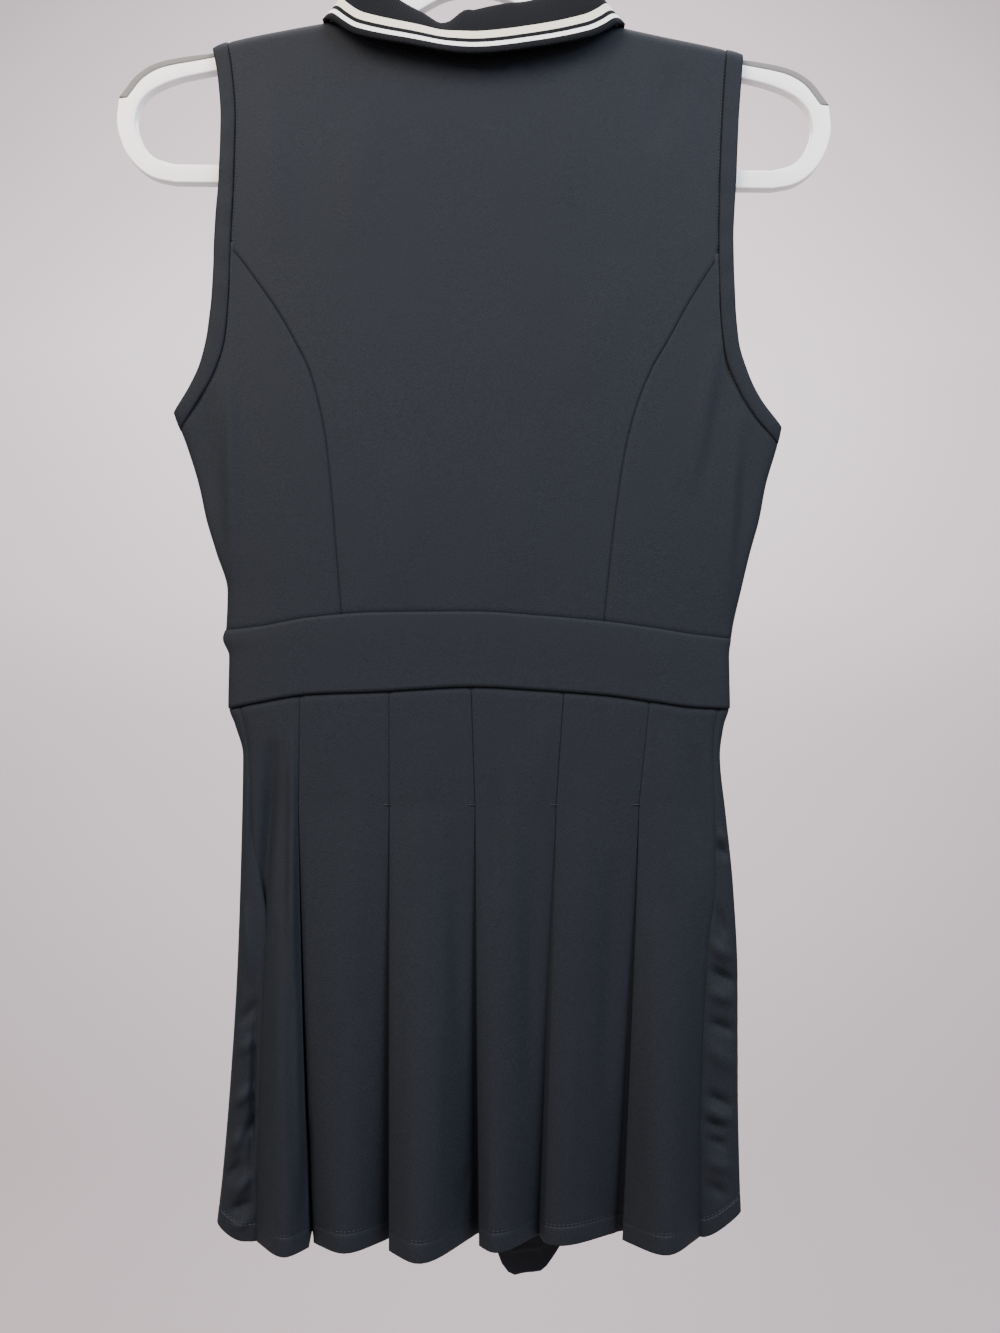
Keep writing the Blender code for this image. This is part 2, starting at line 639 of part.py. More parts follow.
def flat_plate(name, loops, half_depth, finish):
    """A plate cut to closed outlines in the XZ plane."""
    outline_curve = bpy.data.curves.new(name, "CURVE")
    outline_curve.dimensions = "2D"
    outline_curve.fill_mode = "BOTH"
    outline_curve.extrude = half_depth * MM
    for loop in loops:
        spline = outline_curve.splines.new("POLY")
        spline.points.add(len(loop) - 1)
        for point, (x, z) in zip(spline.points, loop):
            point.co = (x * MM, z * MM, 0.0, 1.0)
        spline.use_cyclic_u = True
    item = bpy.data.objects.new(name, outline_curve)
    COLLECTION.objects.link(item)
    item.rotation_euler = (math.radians(90), 0.0, 0.0)
    outline_curve.materials.append(finish)
    weld = item.modifiers.new("weld", "WELD")
    weld.merge_threshold = 0.00001


def mirrored(points):
    return [(-x, z) for x, z in points[::-1] if x > 0]


def hanger_frame():
    outer = bend(ARM_TOP) + bend(END_OUTER)
    inner = bend(LOOP_INNER)
    loops = []
    for half in (outer, inner):
        loop = half + mirrored(half)
        loops.append([tilted(x, z) for x, z in loop])
    flat_plate("hanger_frame", loops, FRAME_HALF_DEPTH, PLASTIC)


def hanger_pad(side):
    sign = -1 if side == "left" else 1
    top = bend(PAD_TOP)
    arm = [(x, z) for x, z in bend(ARM_TOP) if x > PAD_START_X]
    first = (PAD_START_X, smooth(tuple(p[0] for p in ARM_TOP), tuple(p[1] for p in ARM_TOP), PAD_START_X))
    under = [(x + PAD_GAP * 0.5, z + PAD_GAP) for x, z in [first] + arm]
    loop = [tilted(sign * x, z) for x, z in top + under[::-1]]
    flat_plate(f"hanger_pad_{side}", [loop], PAD_HALF_DEPTH, RUBBER)


def hanger_hook():
    """The hook: a short stem from the hub, then most of a circle."""
    radius = HOOK_INNER_RADIUS + HOOK_WIRE_RADIUS
    path = [(0.0, HUB_Z + 0.35), (0.0, HUB_Z + 7.0), (3.0, HUB_Z + 13.0), (9.0, HUB_Z + 18.5)]
    for degrees in range(-45, 206, 12):
        angle = math.radians(degrees)
        path.append((radius * math.cos(angle), radius * math.sin(angle) - HOOK_INNER_RADIUS))
    wire = bpy.data.curves.new("hanger_hook", "CURVE")
    wire.dimensions = "3D"
    wire.bevel_depth = HOOK_WIRE_RADIUS * MM
    wire.bevel_resolution = 2
    wire.use_fill_caps = True
    spline = wire.splines.new("POLY")
    spline.points.add(len(path) - 1)
    for point, (x, z) in zip(spline.points, path):
        point.co = (x * MM, 0.0, z * MM, 1.0)
    item = bpy.data.objects.new("hanger_hook", wire)
    COLLECTION.objects.link(item)
    wire.materials.append(PLASTIC)


clear_scene()
COLLECTION = bpy.data.collections.new("tennis dress on hanger")
bpy.context.scene.collection.children.link(COLLECTION)
JERSEY = material("dark jersey", (0.018, 0.022, 0.028), 0.75)
RIB = material("dark rib knit", (0.012, 0.015, 0.020), 0.8)
PLASTIC = material("white plastic", (0.86, 0.86, 0.85), 0.3)
RUBBER = material("grey rubber", (0.26, 0.26, 0.25), 0.7)

bodice_back_center()
bodice_back_side("left")
bodice_back_side("right")
bodice_front()
armhole_binding("left")
armhole_binding("right")
collar()
waistband("waistband_back", -1)
waistband("waistband_front", 1)
skirt_back()
skirt_front()
hanger_frame()
hanger_hook()
hanger_pad("left")
hanger_pad("right")
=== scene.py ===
# %% [markdown]
# # A tennis dress on its hanger
#
# The real thing is a sleeveless dress of dark stretch jersey with a rib-knit polo collar. It
# hangs nearly flat from a white plastic hanger, and the picture shows its back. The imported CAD
# model gives every piece its place. This script gives each piece its finished surface: thin
# cloth with its creases and pleats, the knitted collar, the stitches, and the moulded hanger.
# Sizes are in millimetres, measured from the inside top of the hanger's hook.

# %% Load the frame
import json
import math

import bpy
import numpy as np
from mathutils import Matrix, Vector

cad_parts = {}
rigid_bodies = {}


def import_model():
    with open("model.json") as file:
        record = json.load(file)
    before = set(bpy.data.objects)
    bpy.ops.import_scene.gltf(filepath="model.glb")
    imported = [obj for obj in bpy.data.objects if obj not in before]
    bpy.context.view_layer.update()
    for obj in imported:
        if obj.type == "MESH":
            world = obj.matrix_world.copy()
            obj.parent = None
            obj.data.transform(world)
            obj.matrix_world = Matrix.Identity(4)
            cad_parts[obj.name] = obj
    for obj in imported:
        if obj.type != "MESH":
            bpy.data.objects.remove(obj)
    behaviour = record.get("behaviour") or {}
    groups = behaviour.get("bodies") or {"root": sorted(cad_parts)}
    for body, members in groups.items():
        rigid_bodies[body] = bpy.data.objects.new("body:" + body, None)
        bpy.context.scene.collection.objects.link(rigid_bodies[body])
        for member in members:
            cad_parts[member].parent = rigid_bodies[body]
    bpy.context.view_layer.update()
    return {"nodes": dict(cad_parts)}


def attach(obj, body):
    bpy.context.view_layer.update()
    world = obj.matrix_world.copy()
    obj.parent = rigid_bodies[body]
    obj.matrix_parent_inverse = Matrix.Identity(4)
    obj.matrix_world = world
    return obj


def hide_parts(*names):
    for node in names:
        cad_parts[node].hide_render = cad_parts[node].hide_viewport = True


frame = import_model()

for item in list(bpy.data.objects):
    item.select_set(False)
MM = 0.001
print("the frame has", len(frame["nodes"]), "nodes")

# %% [markdown]
# ## The camera comes first
#
# One pixel of the 1000 x 1333 picture is 0.625 mm at the hanger, so the picture's height is
# 833 mm there. The hem's tongues look longer where they swing forward, which tells how near
# the camera stands: 0.70 m, level with the waist.

# %% Camera
PIXEL = 0.625
PICTURE_HIGH = 1333 * PIXEL
EYE_DISTANCE = 700.0
SENSOR = 36.0

bpy.ops.object.camera_add(
    location=(16.25 * MM, -EYE_DISTANCE * MM, -494.7 * MM), rotation=(math.radians(90), 0, 0))
camera = bpy.context.object
camera.name = "camera"
camera.data.sensor_width = SENSOR
camera.data.lens = SENSOR * EYE_DISTANCE / PICTURE_HIGH
camera.data.clip_start = 0.01
bpy.context.scene.camera = camera
print("lens", round(camera.data.lens, 2), "mm")

# %% [markdown]
# ## Helpers for colour and nodes
#
# Colours are read off as sRGB hex values, and the shader wants linear light, so one function
# turns them. One more function adds a node with its settings and links.

# %% Colour and node helpers
def linear(hex_colour):
    """sRGB hex value to linear RGBA."""
    parts = [int(hex_colour[i:i + 2], 16) / 255 for i in (1, 3, 5)]
    return tuple(c / 12.92 if c <= 0.04045 else ((c + 0.055) / 1.055) ** 2.4 for c in parts) + (1.0,)


def add_node(tree, kind, values=None, **settings):
    """A node of a kind with settings; each value is a number, a colour or a socket to link."""
    node = tree.nodes.new(kind)
    for key, value in settings.items():
        setattr(node, key, value)
    for key, value in (values or {}).items():
        if isinstance(value, bpy.types.NodeSocket):
            tree.links.new(value, node.inputs[key])
        else:
            node.inputs[key].default_value = value
    return node


def new_material(name, **shader_values):
    """A material with its Principled shader set; it returns the material, its tree and shader."""
    made = bpy.data.materials.new(name)
    made.use_nodes = True
    shader = made.node_tree.nodes["Principled BSDF"]
    for key, value in shader_values.items():
        shader.inputs[key.replace("_", " ")].default_value = value
    return made, made.node_tree, shader


# %% [markdown]
# ## Jersey
#
# The dress is a double-knit polyester and elastane jersey, dyed a charcoal navy. Its loops are
# about half a millimetre wide, so they show only as a fine tooth: a bump of even noise on Object
# coordinates. Knitted yarn scatters light at grazing angles, which is the sheen.
# The colour is mixed between two close shades by the same noise as the bump: the raised loops
# take the lighter and the hollows the darker, a painted shade of the yarn over its own charcoal navy.

# %% Jersey material
KNIT_LOOP = 0.9         # millimetres; the real 0.5 is too fine to show, so it is drawn coarser


def knit_bump(tree, shader, loop, strength, coords):
    """Fine knit as an even noise, over a soft unevenness of the whole cloth."""
    scaled = add_node(tree, "ShaderNodeMapping", {
        "Vector": coords, "Scale": (1000 / loop, 1000 / loop, 1000 / loop)})
    loops = add_node(tree, "ShaderNodeTexNoise", {
        "Vector": scaled.outputs["Vector"], "Scale": 1.0, "Detail": 2.0, "Roughness": 0.6})
    soft = add_node(tree, "ShaderNodeTexNoise", {
        "Vector": coords, "Scale": 18.0, "Detail": 2.0, "Roughness": 0.5})
    low = add_node(tree, "ShaderNodeBump", {
        "Height": soft.outputs["Fac"], "Strength": 0.15, "Distance": 0.0015})
    fine = add_node(tree, "ShaderNodeBump", {
        "Height": loops.outputs["Fac"], "Strength": strength, "Distance": 0.0004,
        "Normal": low.outputs["Normal"]})
    tree.links.new(fine.outputs["Normal"], shader.inputs["Normal"])
    return loops


def jersey(name, dark, light):
    """Dyed jersey between two close shades, picked by the knit noise: the darker is painted shade in the loops'
    hollows.
    """
    made, tree, shader = new_material(
        name, Roughness=0.72, Sheen_Weight=0.03, Sheen_Roughness=0.4, Specular_IOR_Level=0.16)
    shader.inputs["Sheen Tint"].default_value = linear("#9aa6bd")
    place = add_node(tree, "ShaderNodeTexCoord")
    loops = knit_bump(tree, shader, KNIT_LOOP, 0.5, place.outputs["Object"])
    # The knit noise picks the shade: raised loops lighter, hollows darker, a painted shade of the yarn.
    shade = add_node(tree, "ShaderNodeMapRange", {
        "Value": loops.outputs["Fac"], "From Min": 0.3, "From Max": 0.7})
    navy_with_painted_yarn_shade = add_node(tree, "ShaderNodeMix", {
        "Factor": shade.outputs["Result"], "A": linear(dark), "B": linear(light)}, data_type="RGBA")
    tree.links.new(navy_with_painted_yarn_shade.outputs["Result"], shader.inputs["Base Color"])
    return made


BODICE_JERSEY = jersey("charcoal navy jersey", "#171a1f", "#20242a")
BINDING_JERSEY = jersey("jersey binding", "#15181d", "#1d2127")
print("jersey made")

# %% [markdown]
# ## Rib knit with stripes
#
# A polo collar is knitted flat, with its stripes knitted in, not printed. Its UV map is in
# millimetres: U runs along the collar and V is the distance from the leaf's edge. So the
# stripes follow the edge round every bend, and the ribs cross them.

# %% Collar material
BORDER = 3.8            # plain rows at the edge, then the stripes, in millimetres
WHITE_STRIPE = 2.9
DARK_STRIPE = 2.6
CREAM_STRIPE = 5.1
RIB_PITCH = 1.3


def collar_knit():
    made, tree, shader = new_material(
        "rib knit with stripes", Roughness=0.85, Sheen_Weight=0.03, Sheen_Roughness=0.5,
        Specular_IOR_Level=0.12)
    shader.inputs["Sheen Tint"].default_value = linear("#9aa6bd")
    across = add_node(tree, "ShaderNodeUVMap", uv_map="collar")
    parts = add_node(tree, "ShaderNodeSeparateXYZ", {"Vector": across.outputs["UV"]})
    distance = parts.outputs["Y"]
    ramp = add_node(tree, "ShaderNodeValToRGB")
    reach = 20.0
    share = add_node(tree, "ShaderNodeMath", {0: distance, 1: reach}, operation="DIVIDE")
    tree.links.new(share.outputs["Value"], ramp.inputs["Fac"])
    edges = np.cumsum([0.0, BORDER, WHITE_STRIPE, DARK_STRIPE, CREAM_STRIPE]) / reach
    shades = ("#101215", "#f6f6f4", "#101215", "#e9e2cf", "#101215")
    ramp.color_ramp.interpolation = "CONSTANT"
    while len(ramp.color_ramp.elements) < len(shades):
        ramp.color_ramp.elements.new(0.5)
    for stop, place, shade in zip(ramp.color_ramp.elements, edges, shades):
        stop.position = place
        stop.color = linear(shade)
    tree.links.new(ramp.outputs["Color"], shader.inputs["Base Color"])
    ribs = add_node(tree, "ShaderNodeTexWave", {
        "Vector": across.outputs["UV"], "Scale": 2 * math.pi / (20.0 * RIB_PITCH) , "Distortion": 0.4,
        "Detail": 1.0, "Detail Scale": 2.0}, wave_type="BANDS", bands_direction="X")
    bump = add_node(tree, "ShaderNodeBump", {
        "Height": ribs.outputs["Fac"], "Strength": 0.45, "Distance": 0.0005})
    tree.links.new(bump.outputs["Normal"], shader.inputs["Normal"])
    return made


COLLAR_KNIT = collar_knit()
print("collar knit made")

# %% [markdown]
# ## Moulded plastic, pads and thread
#
# The hanger is injection-moulded ABS: white, smooth and a little soft in its gloss. The pads
# are a thermoplastic rubber, matt and slightly grainy. The thread is polyester, a shade
# lighter than the cloth, so a row of stitches catches the light.

# %% Hanger and thread materials
def grainy(name, colour, roughness, grain_size, depth, strength):
    made, tree, shader = new_material(name, Base_Color=linear(colour))
    place = add_node(tree, "ShaderNodeTexCoord")
    grain = add_node(tree, "ShaderNodeTexNoise", {
        "Vector": place.outputs["Object"], "Scale": 1000 / grain_size, "Detail": 3.0})
    wear = add_node(tree, "ShaderNodeMapRange", {
        "Value": grain.outputs["Fac"], "From Min": 0.3, "From Max": 0.7,
        "To Min": roughness - 0.06, "To Max": roughness + 0.06})
    tree.links.new(wear.outputs["Result"], shader.inputs["Roughness"])
    bump = add_node(tree, "ShaderNodeBump", {
        "Height": grain.outputs["Fac"], "Strength": strength, "Distance": depth * MM})
    tree.links.new(bump.outputs["Normal"], shader.inputs["Normal"])
    return made


HANGER_ABS = grainy("white moulded ABS", "#fafaf8", 0.36, 9.0, 0.25, 0.25)
PAD_RUBBER = grainy("grey pad rubber", "#73716e", 0.75, 0.8, 0.12, 0.6)
THREAD = grainy("polyester thread", "#2c2f36", 0.5, 0.5, 0.05, 0.4)
DARK_THREAD = grainy("dark polyester thread", "#0c0d10", 0.6, 0.5, 0.05, 0.4)
print("hanger and thread made")

# %% [markdown]
# ## The dress in numbers
#
# The tables hold the garment's own sizes, the ones its CAD pieces were cut from. A smooth
# curve that never overshoots runs through each column, so a seam can be read at any height.

# %% Tables and curves
def table(names, *rows):
    """Named columns from rows of numbers."""
    return dict(zip(names.split(), np.array(rows, float).T))


def smooth(places, values, at):
    """Values on a smooth curve through (place, value) points; it works on whole arrays."""
    order = np.argsort(places)
    p, v = np.asarray(places, float)[order], np.asarray(values, float)[order]
    steps = np.diff(v) / np.diff(p)
    before, after = steps[:-1], steps[1:]
    total = np.where(before + after == 0, 1.0, before + after)
    inner = np.where(before * after > 0, 2 * before * after / total, 0.0)
    slopes = np.concatenate([steps[:1], inner, steps[-1:]])
    at = np.clip(at, p[0], p[-1])
    i = np.clip(np.searchsorted(p, at, side="right") - 1, 0, len(p) - 2)
    width = p[i + 1] - p[i]
    t = (at - p[i]) / width
    return ((1 + 2 * t) * (1 - t) ** 2 * v[i] + t * (1 - t) ** 2 * width * slopes[i]
            + t * t * (3 - 2 * t) * v[i + 1] + t * t * (t - 1) * width * slopes[i + 1])


def lerp(a, b, t):
    return a + (b - a) * t


OUTLINE = table(
    "z left right",
    (-337, -186.5, 191.5), (-347, -182.5, 191), (-356, -179, 189), (-382, -171, 181.5),
    (-403, -166.5, 177.5), (-423, -160.5, 172), (-448, -153.2, 166), (-470, -154, 161),
    (-477, -156, 160), (-488, -152, 158.5), (-519, -152.5, 159), (-531, -148.5, 155.5),
    (-550, -143.5, 153), (-586, -144, 156.5), (-630, -145, 161), (-690, -147, 164),
    (-750, -150.5, 164), (-806, -155, 165), (-846, -159.5, 166.5))
DEPTH = table(
    "z half", (-90, 8.5), (-130, 9), (-190, 10.5), (-330, 10), (-420, 9.5), (-490, 9),
    (-580, 10), (-846, 15))
RIDGE = table(
    "x z", (-165, -111), (-155.5, -107), (-113, -98), (-92, -94.3), (-82, -92.3), (0, -76),
    (82, -95.0), (92, -97.3), (115, -102.3), (159, -111.6), (170, -115))
ARMHOLE = table(
    "share left_edge left_seam right_edge right_seam",
    (0.00, -161.5, -153.0, 166.7, 156.8), (0.08, -158.0, -149.8, 165.2, 155.3),
    (0.20, -156.0, -147.5, 163.2, 153.5), (0.35, -157.0, -148.2, 161.7, 152.0),
    (0.50, -159.6, -150.0, 160.0, 151.5), (0.65, -161.0, -151.3, 161.0, 152.3),
    (0.77, -163.8, -154.0, 163.2, 155.1), (0.86, -168.3, -161.0, 169.3, 163.0),
    (0.93, -175.5, -171.0, 177.5, 173.3), (1.00, -186.0, -182.5, 190.8, 188.6))
REACH = {"left": (-111.5, -337.0, -107.0, -347.5), "right": (-114.5, -346.0, -112.0, -356.0)}
PRINCESS = table(
    "z left right",
    (-237, -150.2, 154.5), (-244, -144, 150), (-256, -135, 142), (-275, -121.5, 130.3),
    (-293, -111, 120.5), (-312, -101.5, 109.5), (-333, -95.5, 101), (-357, -91, 94.5),
    (-386, -88, 89.6), (-440, -83.6, 83.2), (-480, -80.5, 79.5))
BACK_NECK = table(
    "x z", (-82, -92.2), (-77, -98), (-66, -107.5), (-35, -117.2), (0, -122.3), (35, -118.6),
    (66, -109), (77, -101), (82, -94.9))
WAIST = table(
    "x top bottom",
    (-160, -473, -522), (-135, -470.5, -516.5), (-100, -464.5, -511), (-60, -461.5, -509.5),
    (0, -461, -506.5), (40, -463.5, -508.5), (80, -467, -511.5), (110, -471, -515.5),
    (135, -475, -519), (162, -478, -520.5))
SKIRT_SEAM = table(
    "z left right",
    (-505, -148, 154), (-545, -139.5, 148), (-600, -136.5, 149), (-628, -132.5, 149),
    (-660, -128, 145), (-731, -130, 140.5), (-800, -131.5, 138.5), (-846, -132, 139))
HEM = table("x z", (-160, -835), (-140, -845), (0, -846), (140, -846), (167, -831))

SEAM = 1.6              # a panel's seam allowance runs this far under its neighbour
CLOTH = 0.9             # thickness of the jersey
HALF_GAP = 0.3
SHOULDER_ROLL = 8.5
NECK_HALF = 82.0
V_BOTTOM = -200.0
FRONT_SCOOP = 7.0
HEM_Z = -846.0
TACK_Z = -580.0
print("tables hold", sum(len(t) for t in (OUTLINE, DEPTH, RIDGE, ARMHOLE, PRINCESS)), "columns so far")


# %% Where the cloth lies
def outline(side, z):
    return smooth(OUTLINE["z"], OUTLINE[side], z)


def ridge(x):
    return smooth(RIDGE["x"], RIDGE["z"], x)


def armhole(side, edge, share, front):
    """X and Z on the armhole's edge or seam, a share of the way from shoulder to armpit."""
    edge_top, edge_low, seam_top, seam_low = REACH[side]
    x = smooth(ARMHOLE["share"], ARMHOLE[f"{side}_{edge}"], share)
    inward = 1 if side == "left" else -1
    x = x + inward * FRONT_SCOOP * np.sin(math.pi * share) ** 2 * front
    return x, (lerp(edge_top, edge_low, share) if edge == "edge" else lerp(seam_top, seam_low, share))


def armhole_seam_x(side, z, front):
    top, low = REACH[side][2:]
    return armhole(side, "seam", np.clip((top - z) / (top - low), 0, 1), front)[0]


def flat_depth(x, z):
    """Half depth of the hanging dress, before any crease or pleat."""
    left, right = outline("left", z), outline("right", z)
    share = np.minimum(1.0, np.abs(2 * x - left - right) / (right - left))
    body = smooth(DEPTH["z"], DEPTH["half"], z) * (1 - share ** 4) ** 0.25
    roll = np.clip((ridge(x) - z) / SHOULDER_ROLL, 0, 1)
    return np.maximum(body * np.sqrt(1 - (1 - roll) ** 2), HALF_GAP)


def relief(x, z, folds):
    """Sum of soft ridges (+) and troughs (-), each along its own line and fading at its ends."""
    total = np.zeros_like(x)
    for x0, z0, x1, z1, width, height in folds:
        dx, dz = x1 - x0, z1 - z0
        length = math.hypot(dx, dz)
        along = ((x - x0) * dx + (z - z0) * dz) / length ** 2
        across = ((x - x0) * dz - (z - z0) * dx) / length
        fade = np.where((along > 0) & (along < 1), np.sin(math.pi * np.clip(along, 0, 1)) ** 0.8, 0.0)
        total += height * np.exp(-(across / width) ** 2) * fade
    return total


# %% [markdown]
# ## A sheet of cloth
#
# Every cloth piece starts as a flat grid, as it would on the cutting table. Its points are
# then carried to where the hanging cloth lies, and Solidify gives it its thickness. The grid's
# UV map comes along, so a pattern can follow the cloth.

# %% Sheet helper
def cloth_grid(name, across, up, place, thickness, finish, node, closed=False, uv=None):
    """A grid whose columns and rows are read from two lists and placed by a function."""
    columns, rows = len(across), len(up)
    bpy.ops.mesh.primitive_grid_add(x_subdivisions=columns - 1, y_subdivisions=rows - 1, size=1)
    piece = bpy.context.object
    piece.name = piece.data.name = name
    count = len(piece.data.vertices)
    flat = np.zeros(count * 3)
    piece.data.vertices.foreach_get("co", flat)
    flat = flat.reshape(-1, 3)
    i = np.rint((flat[:, 0] + 0.5) * (columns - 1)).astype(int)
    j = np.rint((flat[:, 1] + 0.5) * (rows - 1)).astype(int)
    points = np.stack(place(np.asarray(across)[i], np.asarray(up)[j]), axis=1)
    piece.data.vertices.foreach_set("co", (points * MM).ravel())
    if uv:
        layer = piece.data.uv_layers.active
        layer.name = uv[0]
        corner = np.zeros(len(piece.data.loops), int)
        piece.data.loops.foreach_get("vertex_index", corner)
        values = np.stack(uv[1](np.asarray(across)[i], np.asarray(up)[j]), axis=1)[corner]
        layer.data.foreach_set("uv", values.ravel())
    if closed:
        bpy.ops.object.mode_set(mode="EDIT")
        bpy.ops.mesh.select_all(action="SELECT")
        bpy.ops.mesh.remove_doubles(threshold=0.00001)
        bpy.ops.object.mode_set(mode="OBJECT")
    wall = piece.modifiers.new("cloth", "SOLIDIFY")
    wall.thickness = thickness * MM
    wall.offset = 0.0
    bpy.ops.object.modifier_apply(modifier="cloth")
    piece.data.materials.clear()
    piece.data.materials.append(finish)
    bpy.ops.object.shade_smooth()
    piece.select_set(False)
    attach(piece, "root")
    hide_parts(*([node] if isinstance(node, str) else node))
    print(name, len(piece.data.polygons), "faces")
    return piece


def settle(column, low, top, v):
    """X and Z where a column, read by height, meets a row between two curves read by X."""
    x = np.zeros_like(v)
    for _ in range(14):
        z = lerp(low(x), top(x), v)
        x = column(z)
    return x, z


def waist_top(x):
    return smooth(WAIST["x"], WAIST["top"], x)


def waist_low(x):
    return smooth(WAIST["x"], WAIST["bottom"], x)


def body_edge(side, z, front):
    """The panel's outer edge: the side seam, and above the armpit the binding's seam."""
    return np.where(z > REACH[side][3], armhole_seam_x(side, z, front), outline(side, z))


def neck_column(left, right, u, z):
    """U runs from -1 to 1, and half way out a column runs up to the neck point."""
    neck = lerp(0.5 * NECK_HALF, NECK_HALF, np.clip((z + 466) / 300.0, 0, 1))
    outer_left = lerp(-neck, left, -2 * u - 1)
    outer_right = lerp(neck, right, 2 * u - 1)
    return np.where(np.abs(u) <= 0.5, 2 * u * neck, np.where(u < 0, outer_left, outer_right))


def shoulder_rows(count, length=360.0):
    """Row shares, with more of them where the cloth turns over the shoulder."""
    turn = [1 - SHOULDER_ROLL * (1 - math.cos(math.radians(a))) / length for a in range(90, -1, -9)]
    return list(np.linspace(0, turn[0], count, endpoint=False)) + turn


# %% [markdown]
# ## Back bodice
#
# Three panels make the back: a wide centre and two side panels, joined by princess seams that
# curve from the armhole to the waist. Each panel's seam allowance runs on under its neighbour,
# and the cloth dips a little where it is stitched. The folds are few: a soft drag line under
# each shoulder, and creases where the side hangs free. Each is one row: two ends, width, height.

# %% Back bodice
BACK_FOLDS = (
    (4, -118, 3, -128, 1.0, -1.3), (12, -119, 14, -128, 1.1, -1.3), (19, -118, 21, -126, 0.9, -1.1),
    (26, -117, 28, -125, 0.9, -1.1), (34, -115, 37, -123, 1.0, -1.1),
    (126, -122, 110, -176, 8, -1.6), (64, -120, 57, -214, 8, 1.5), (98, -240, 60, -330, 14, 1.0),
    (-62, -132, -76, -236, 13, 1.0), (-20, -150, 10, -300, 22, -0.8), (30, -350, 24, -455, 12, 0.9),
    (-40, -360, -46, -458, 14, 0.9), (-128, -130, -118, -240, 10, 1.1), (142, -130, 136, -230, 8, -1.0),
    (-151, -300, -149, -456, 4.0, 1.8), (-166, -322, -158, -438, 8, -2.6),
    (150, -288, 133, -390, 5, 1.8), (159, -292, 143, -388, 5, -1.5),
    (162, -336, 156, -464, 4, 1.8), (171, -344, 164, -444, 5, -1.6),
    (14, -119, 19, -129, 1.6, -0.9), (21, -119, 27, -130, 1.5, 0.7), (28, -118, 35, -129, 1.5, -0.8),
    (8, -121, 8, -133, 1.7, -0.8), (1, -121, -2, -131, 1.8, 0.6),
)
PRINCESS_TOP = -237.0
SIDE_TOP = {"left": -239.0, "right": -246.0}
PRINCESS_DEPTH = 1.25


def past(t, low, high):
    """A share kept in its range, and how many millimetres the seam allowance runs past it."""
    inside = np.clip(t, low, high)
    return inside, t - inside


def valley(distance, depth=0.85, width=1.1):
    """Dip of the cloth beside a seam, by the distance from the seam."""
    return depth * np.exp(-(distance / width) ** 2)


def back_y(x, z):
    depth = flat_depth(x, z)
    return -(depth + relief(x, z, BACK_FOLDS) * np.clip(depth / 7.0, 0, 1))


def back_top(x):
    inside = np.minimum(ridge(x), smooth(BACK_NECK["x"], BACK_NECK["z"], x))
    return np.where(np.abs(x) < NECK_HALF, inside, ridge(x) - 0.002)


def back_center(u, v):
    u, aside = past(u, -1, 1)
    v, beyond = past(v, 0, 1)

    def column(z):
        left, right = armhole_seam_x("left", z, 0.0), armhole_seam_x("right", z, 0.0)
        cut_left = np.maximum(left, smooth(PRINCESS["z"], PRINCESS["left"], z))
        cut_right = np.minimum(right, smooth(PRINCESS["z"], PRINCESS["right"], z))
        return neck_column(np.where(z < PRINCESS_TOP, cut_left, left),
                           np.where(z < PRINCESS_TOP, cut_right, right), u, z)

    x, z = settle(column, waist_top, back_top, v)
    x = x + aside * np.clip((z + 246) / 8, 0, 1)
    z = z + beyond * np.where(v > 0.5, np.abs(x) < NECK_HALF - 3, 1)
    edge_depth = np.where(z > PRINCESS_TOP, 0.6, PRINCESS_DEPTH)
    dip = valley((1 - np.abs(u)) * 115, edge_depth) + valley(v * 345)
    return x, back_y(x, z) + dip, z


near_edge = np.array([0.004, 0.009, 0.016, 0.026])
back_columns = np.concatenate([[-1 - SEAM, -1], -1 + near_edge, np.linspace(-0.965, 0.965, 111),
                               1 - near_edge[::-1], [1, 1 + SEAM]])
back_rows = np.concatenate([[-SEAM, 0, 0.003, 0.006, 0.011], shoulder_rows(90)[2:], [1 + SEAM]])
bodice_back = cloth_grid("back_center_panel", back_columns, back_rows, back_center,
                         CLOTH, BODICE_JERSEY, "bodice_back_center")


# %% Side back panels
def side_back(side):
    sign = -1 if side == "left" else 1

    def place(u, v):
        u, aside = past(u, 0, 1)
        v, beyond = past(v, 0, 1)

        def column(z):
            return lerp(body_edge(side, z, 0.0), smooth(PRINCESS["z"], PRINCESS[side], z), u)

        x, z = settle(column, waist_top, lambda x: np.full_like(x, SIDE_TOP[side]), v)
        bound = np.clip((z - REACH[side][3] - 2) / 6, 0, 1)
        x = x - sign * np.where(aside > 0, aside, aside * bound)
        z = z + beyond
        dip = (valley((1 - u) * 60, PRINCESS_DEPTH) + valley(u * 60, 0.6) * bound + valley(v * 230)
               + 0.3 * (aside > 0))
        return x, back_y(x, z) + dip, z

    across = np.concatenate([[-SEAM, 0, 0.002, 0.006, 0.014, 0.03, 0.055, 0.09],
                             np.linspace(0.12, 0.94, 34), [0.965, 0.983, 1, 1.5, 1 + SEAM]])
    rows = np.concatenate([[-SEAM, 0, 0.005, 0.01, 0.017], np.linspace(0.025, 1, 120), [3, 7]])
    return cloth_grid(f"side_back_panel_{side}", across, rows, place,
                      CLOTH, BODICE_JERSEY, f"bodice_back_side_{side}")


side_left = side_back("left")
side_right = side_back("right")

# %% [markdown]
# ## Front bodice
#
# The front hides behind the back in the picture. It is one plain panel with an open V neck,
# and its armholes are cut a little deeper, as fronts are. Its soft folds are like the back's.

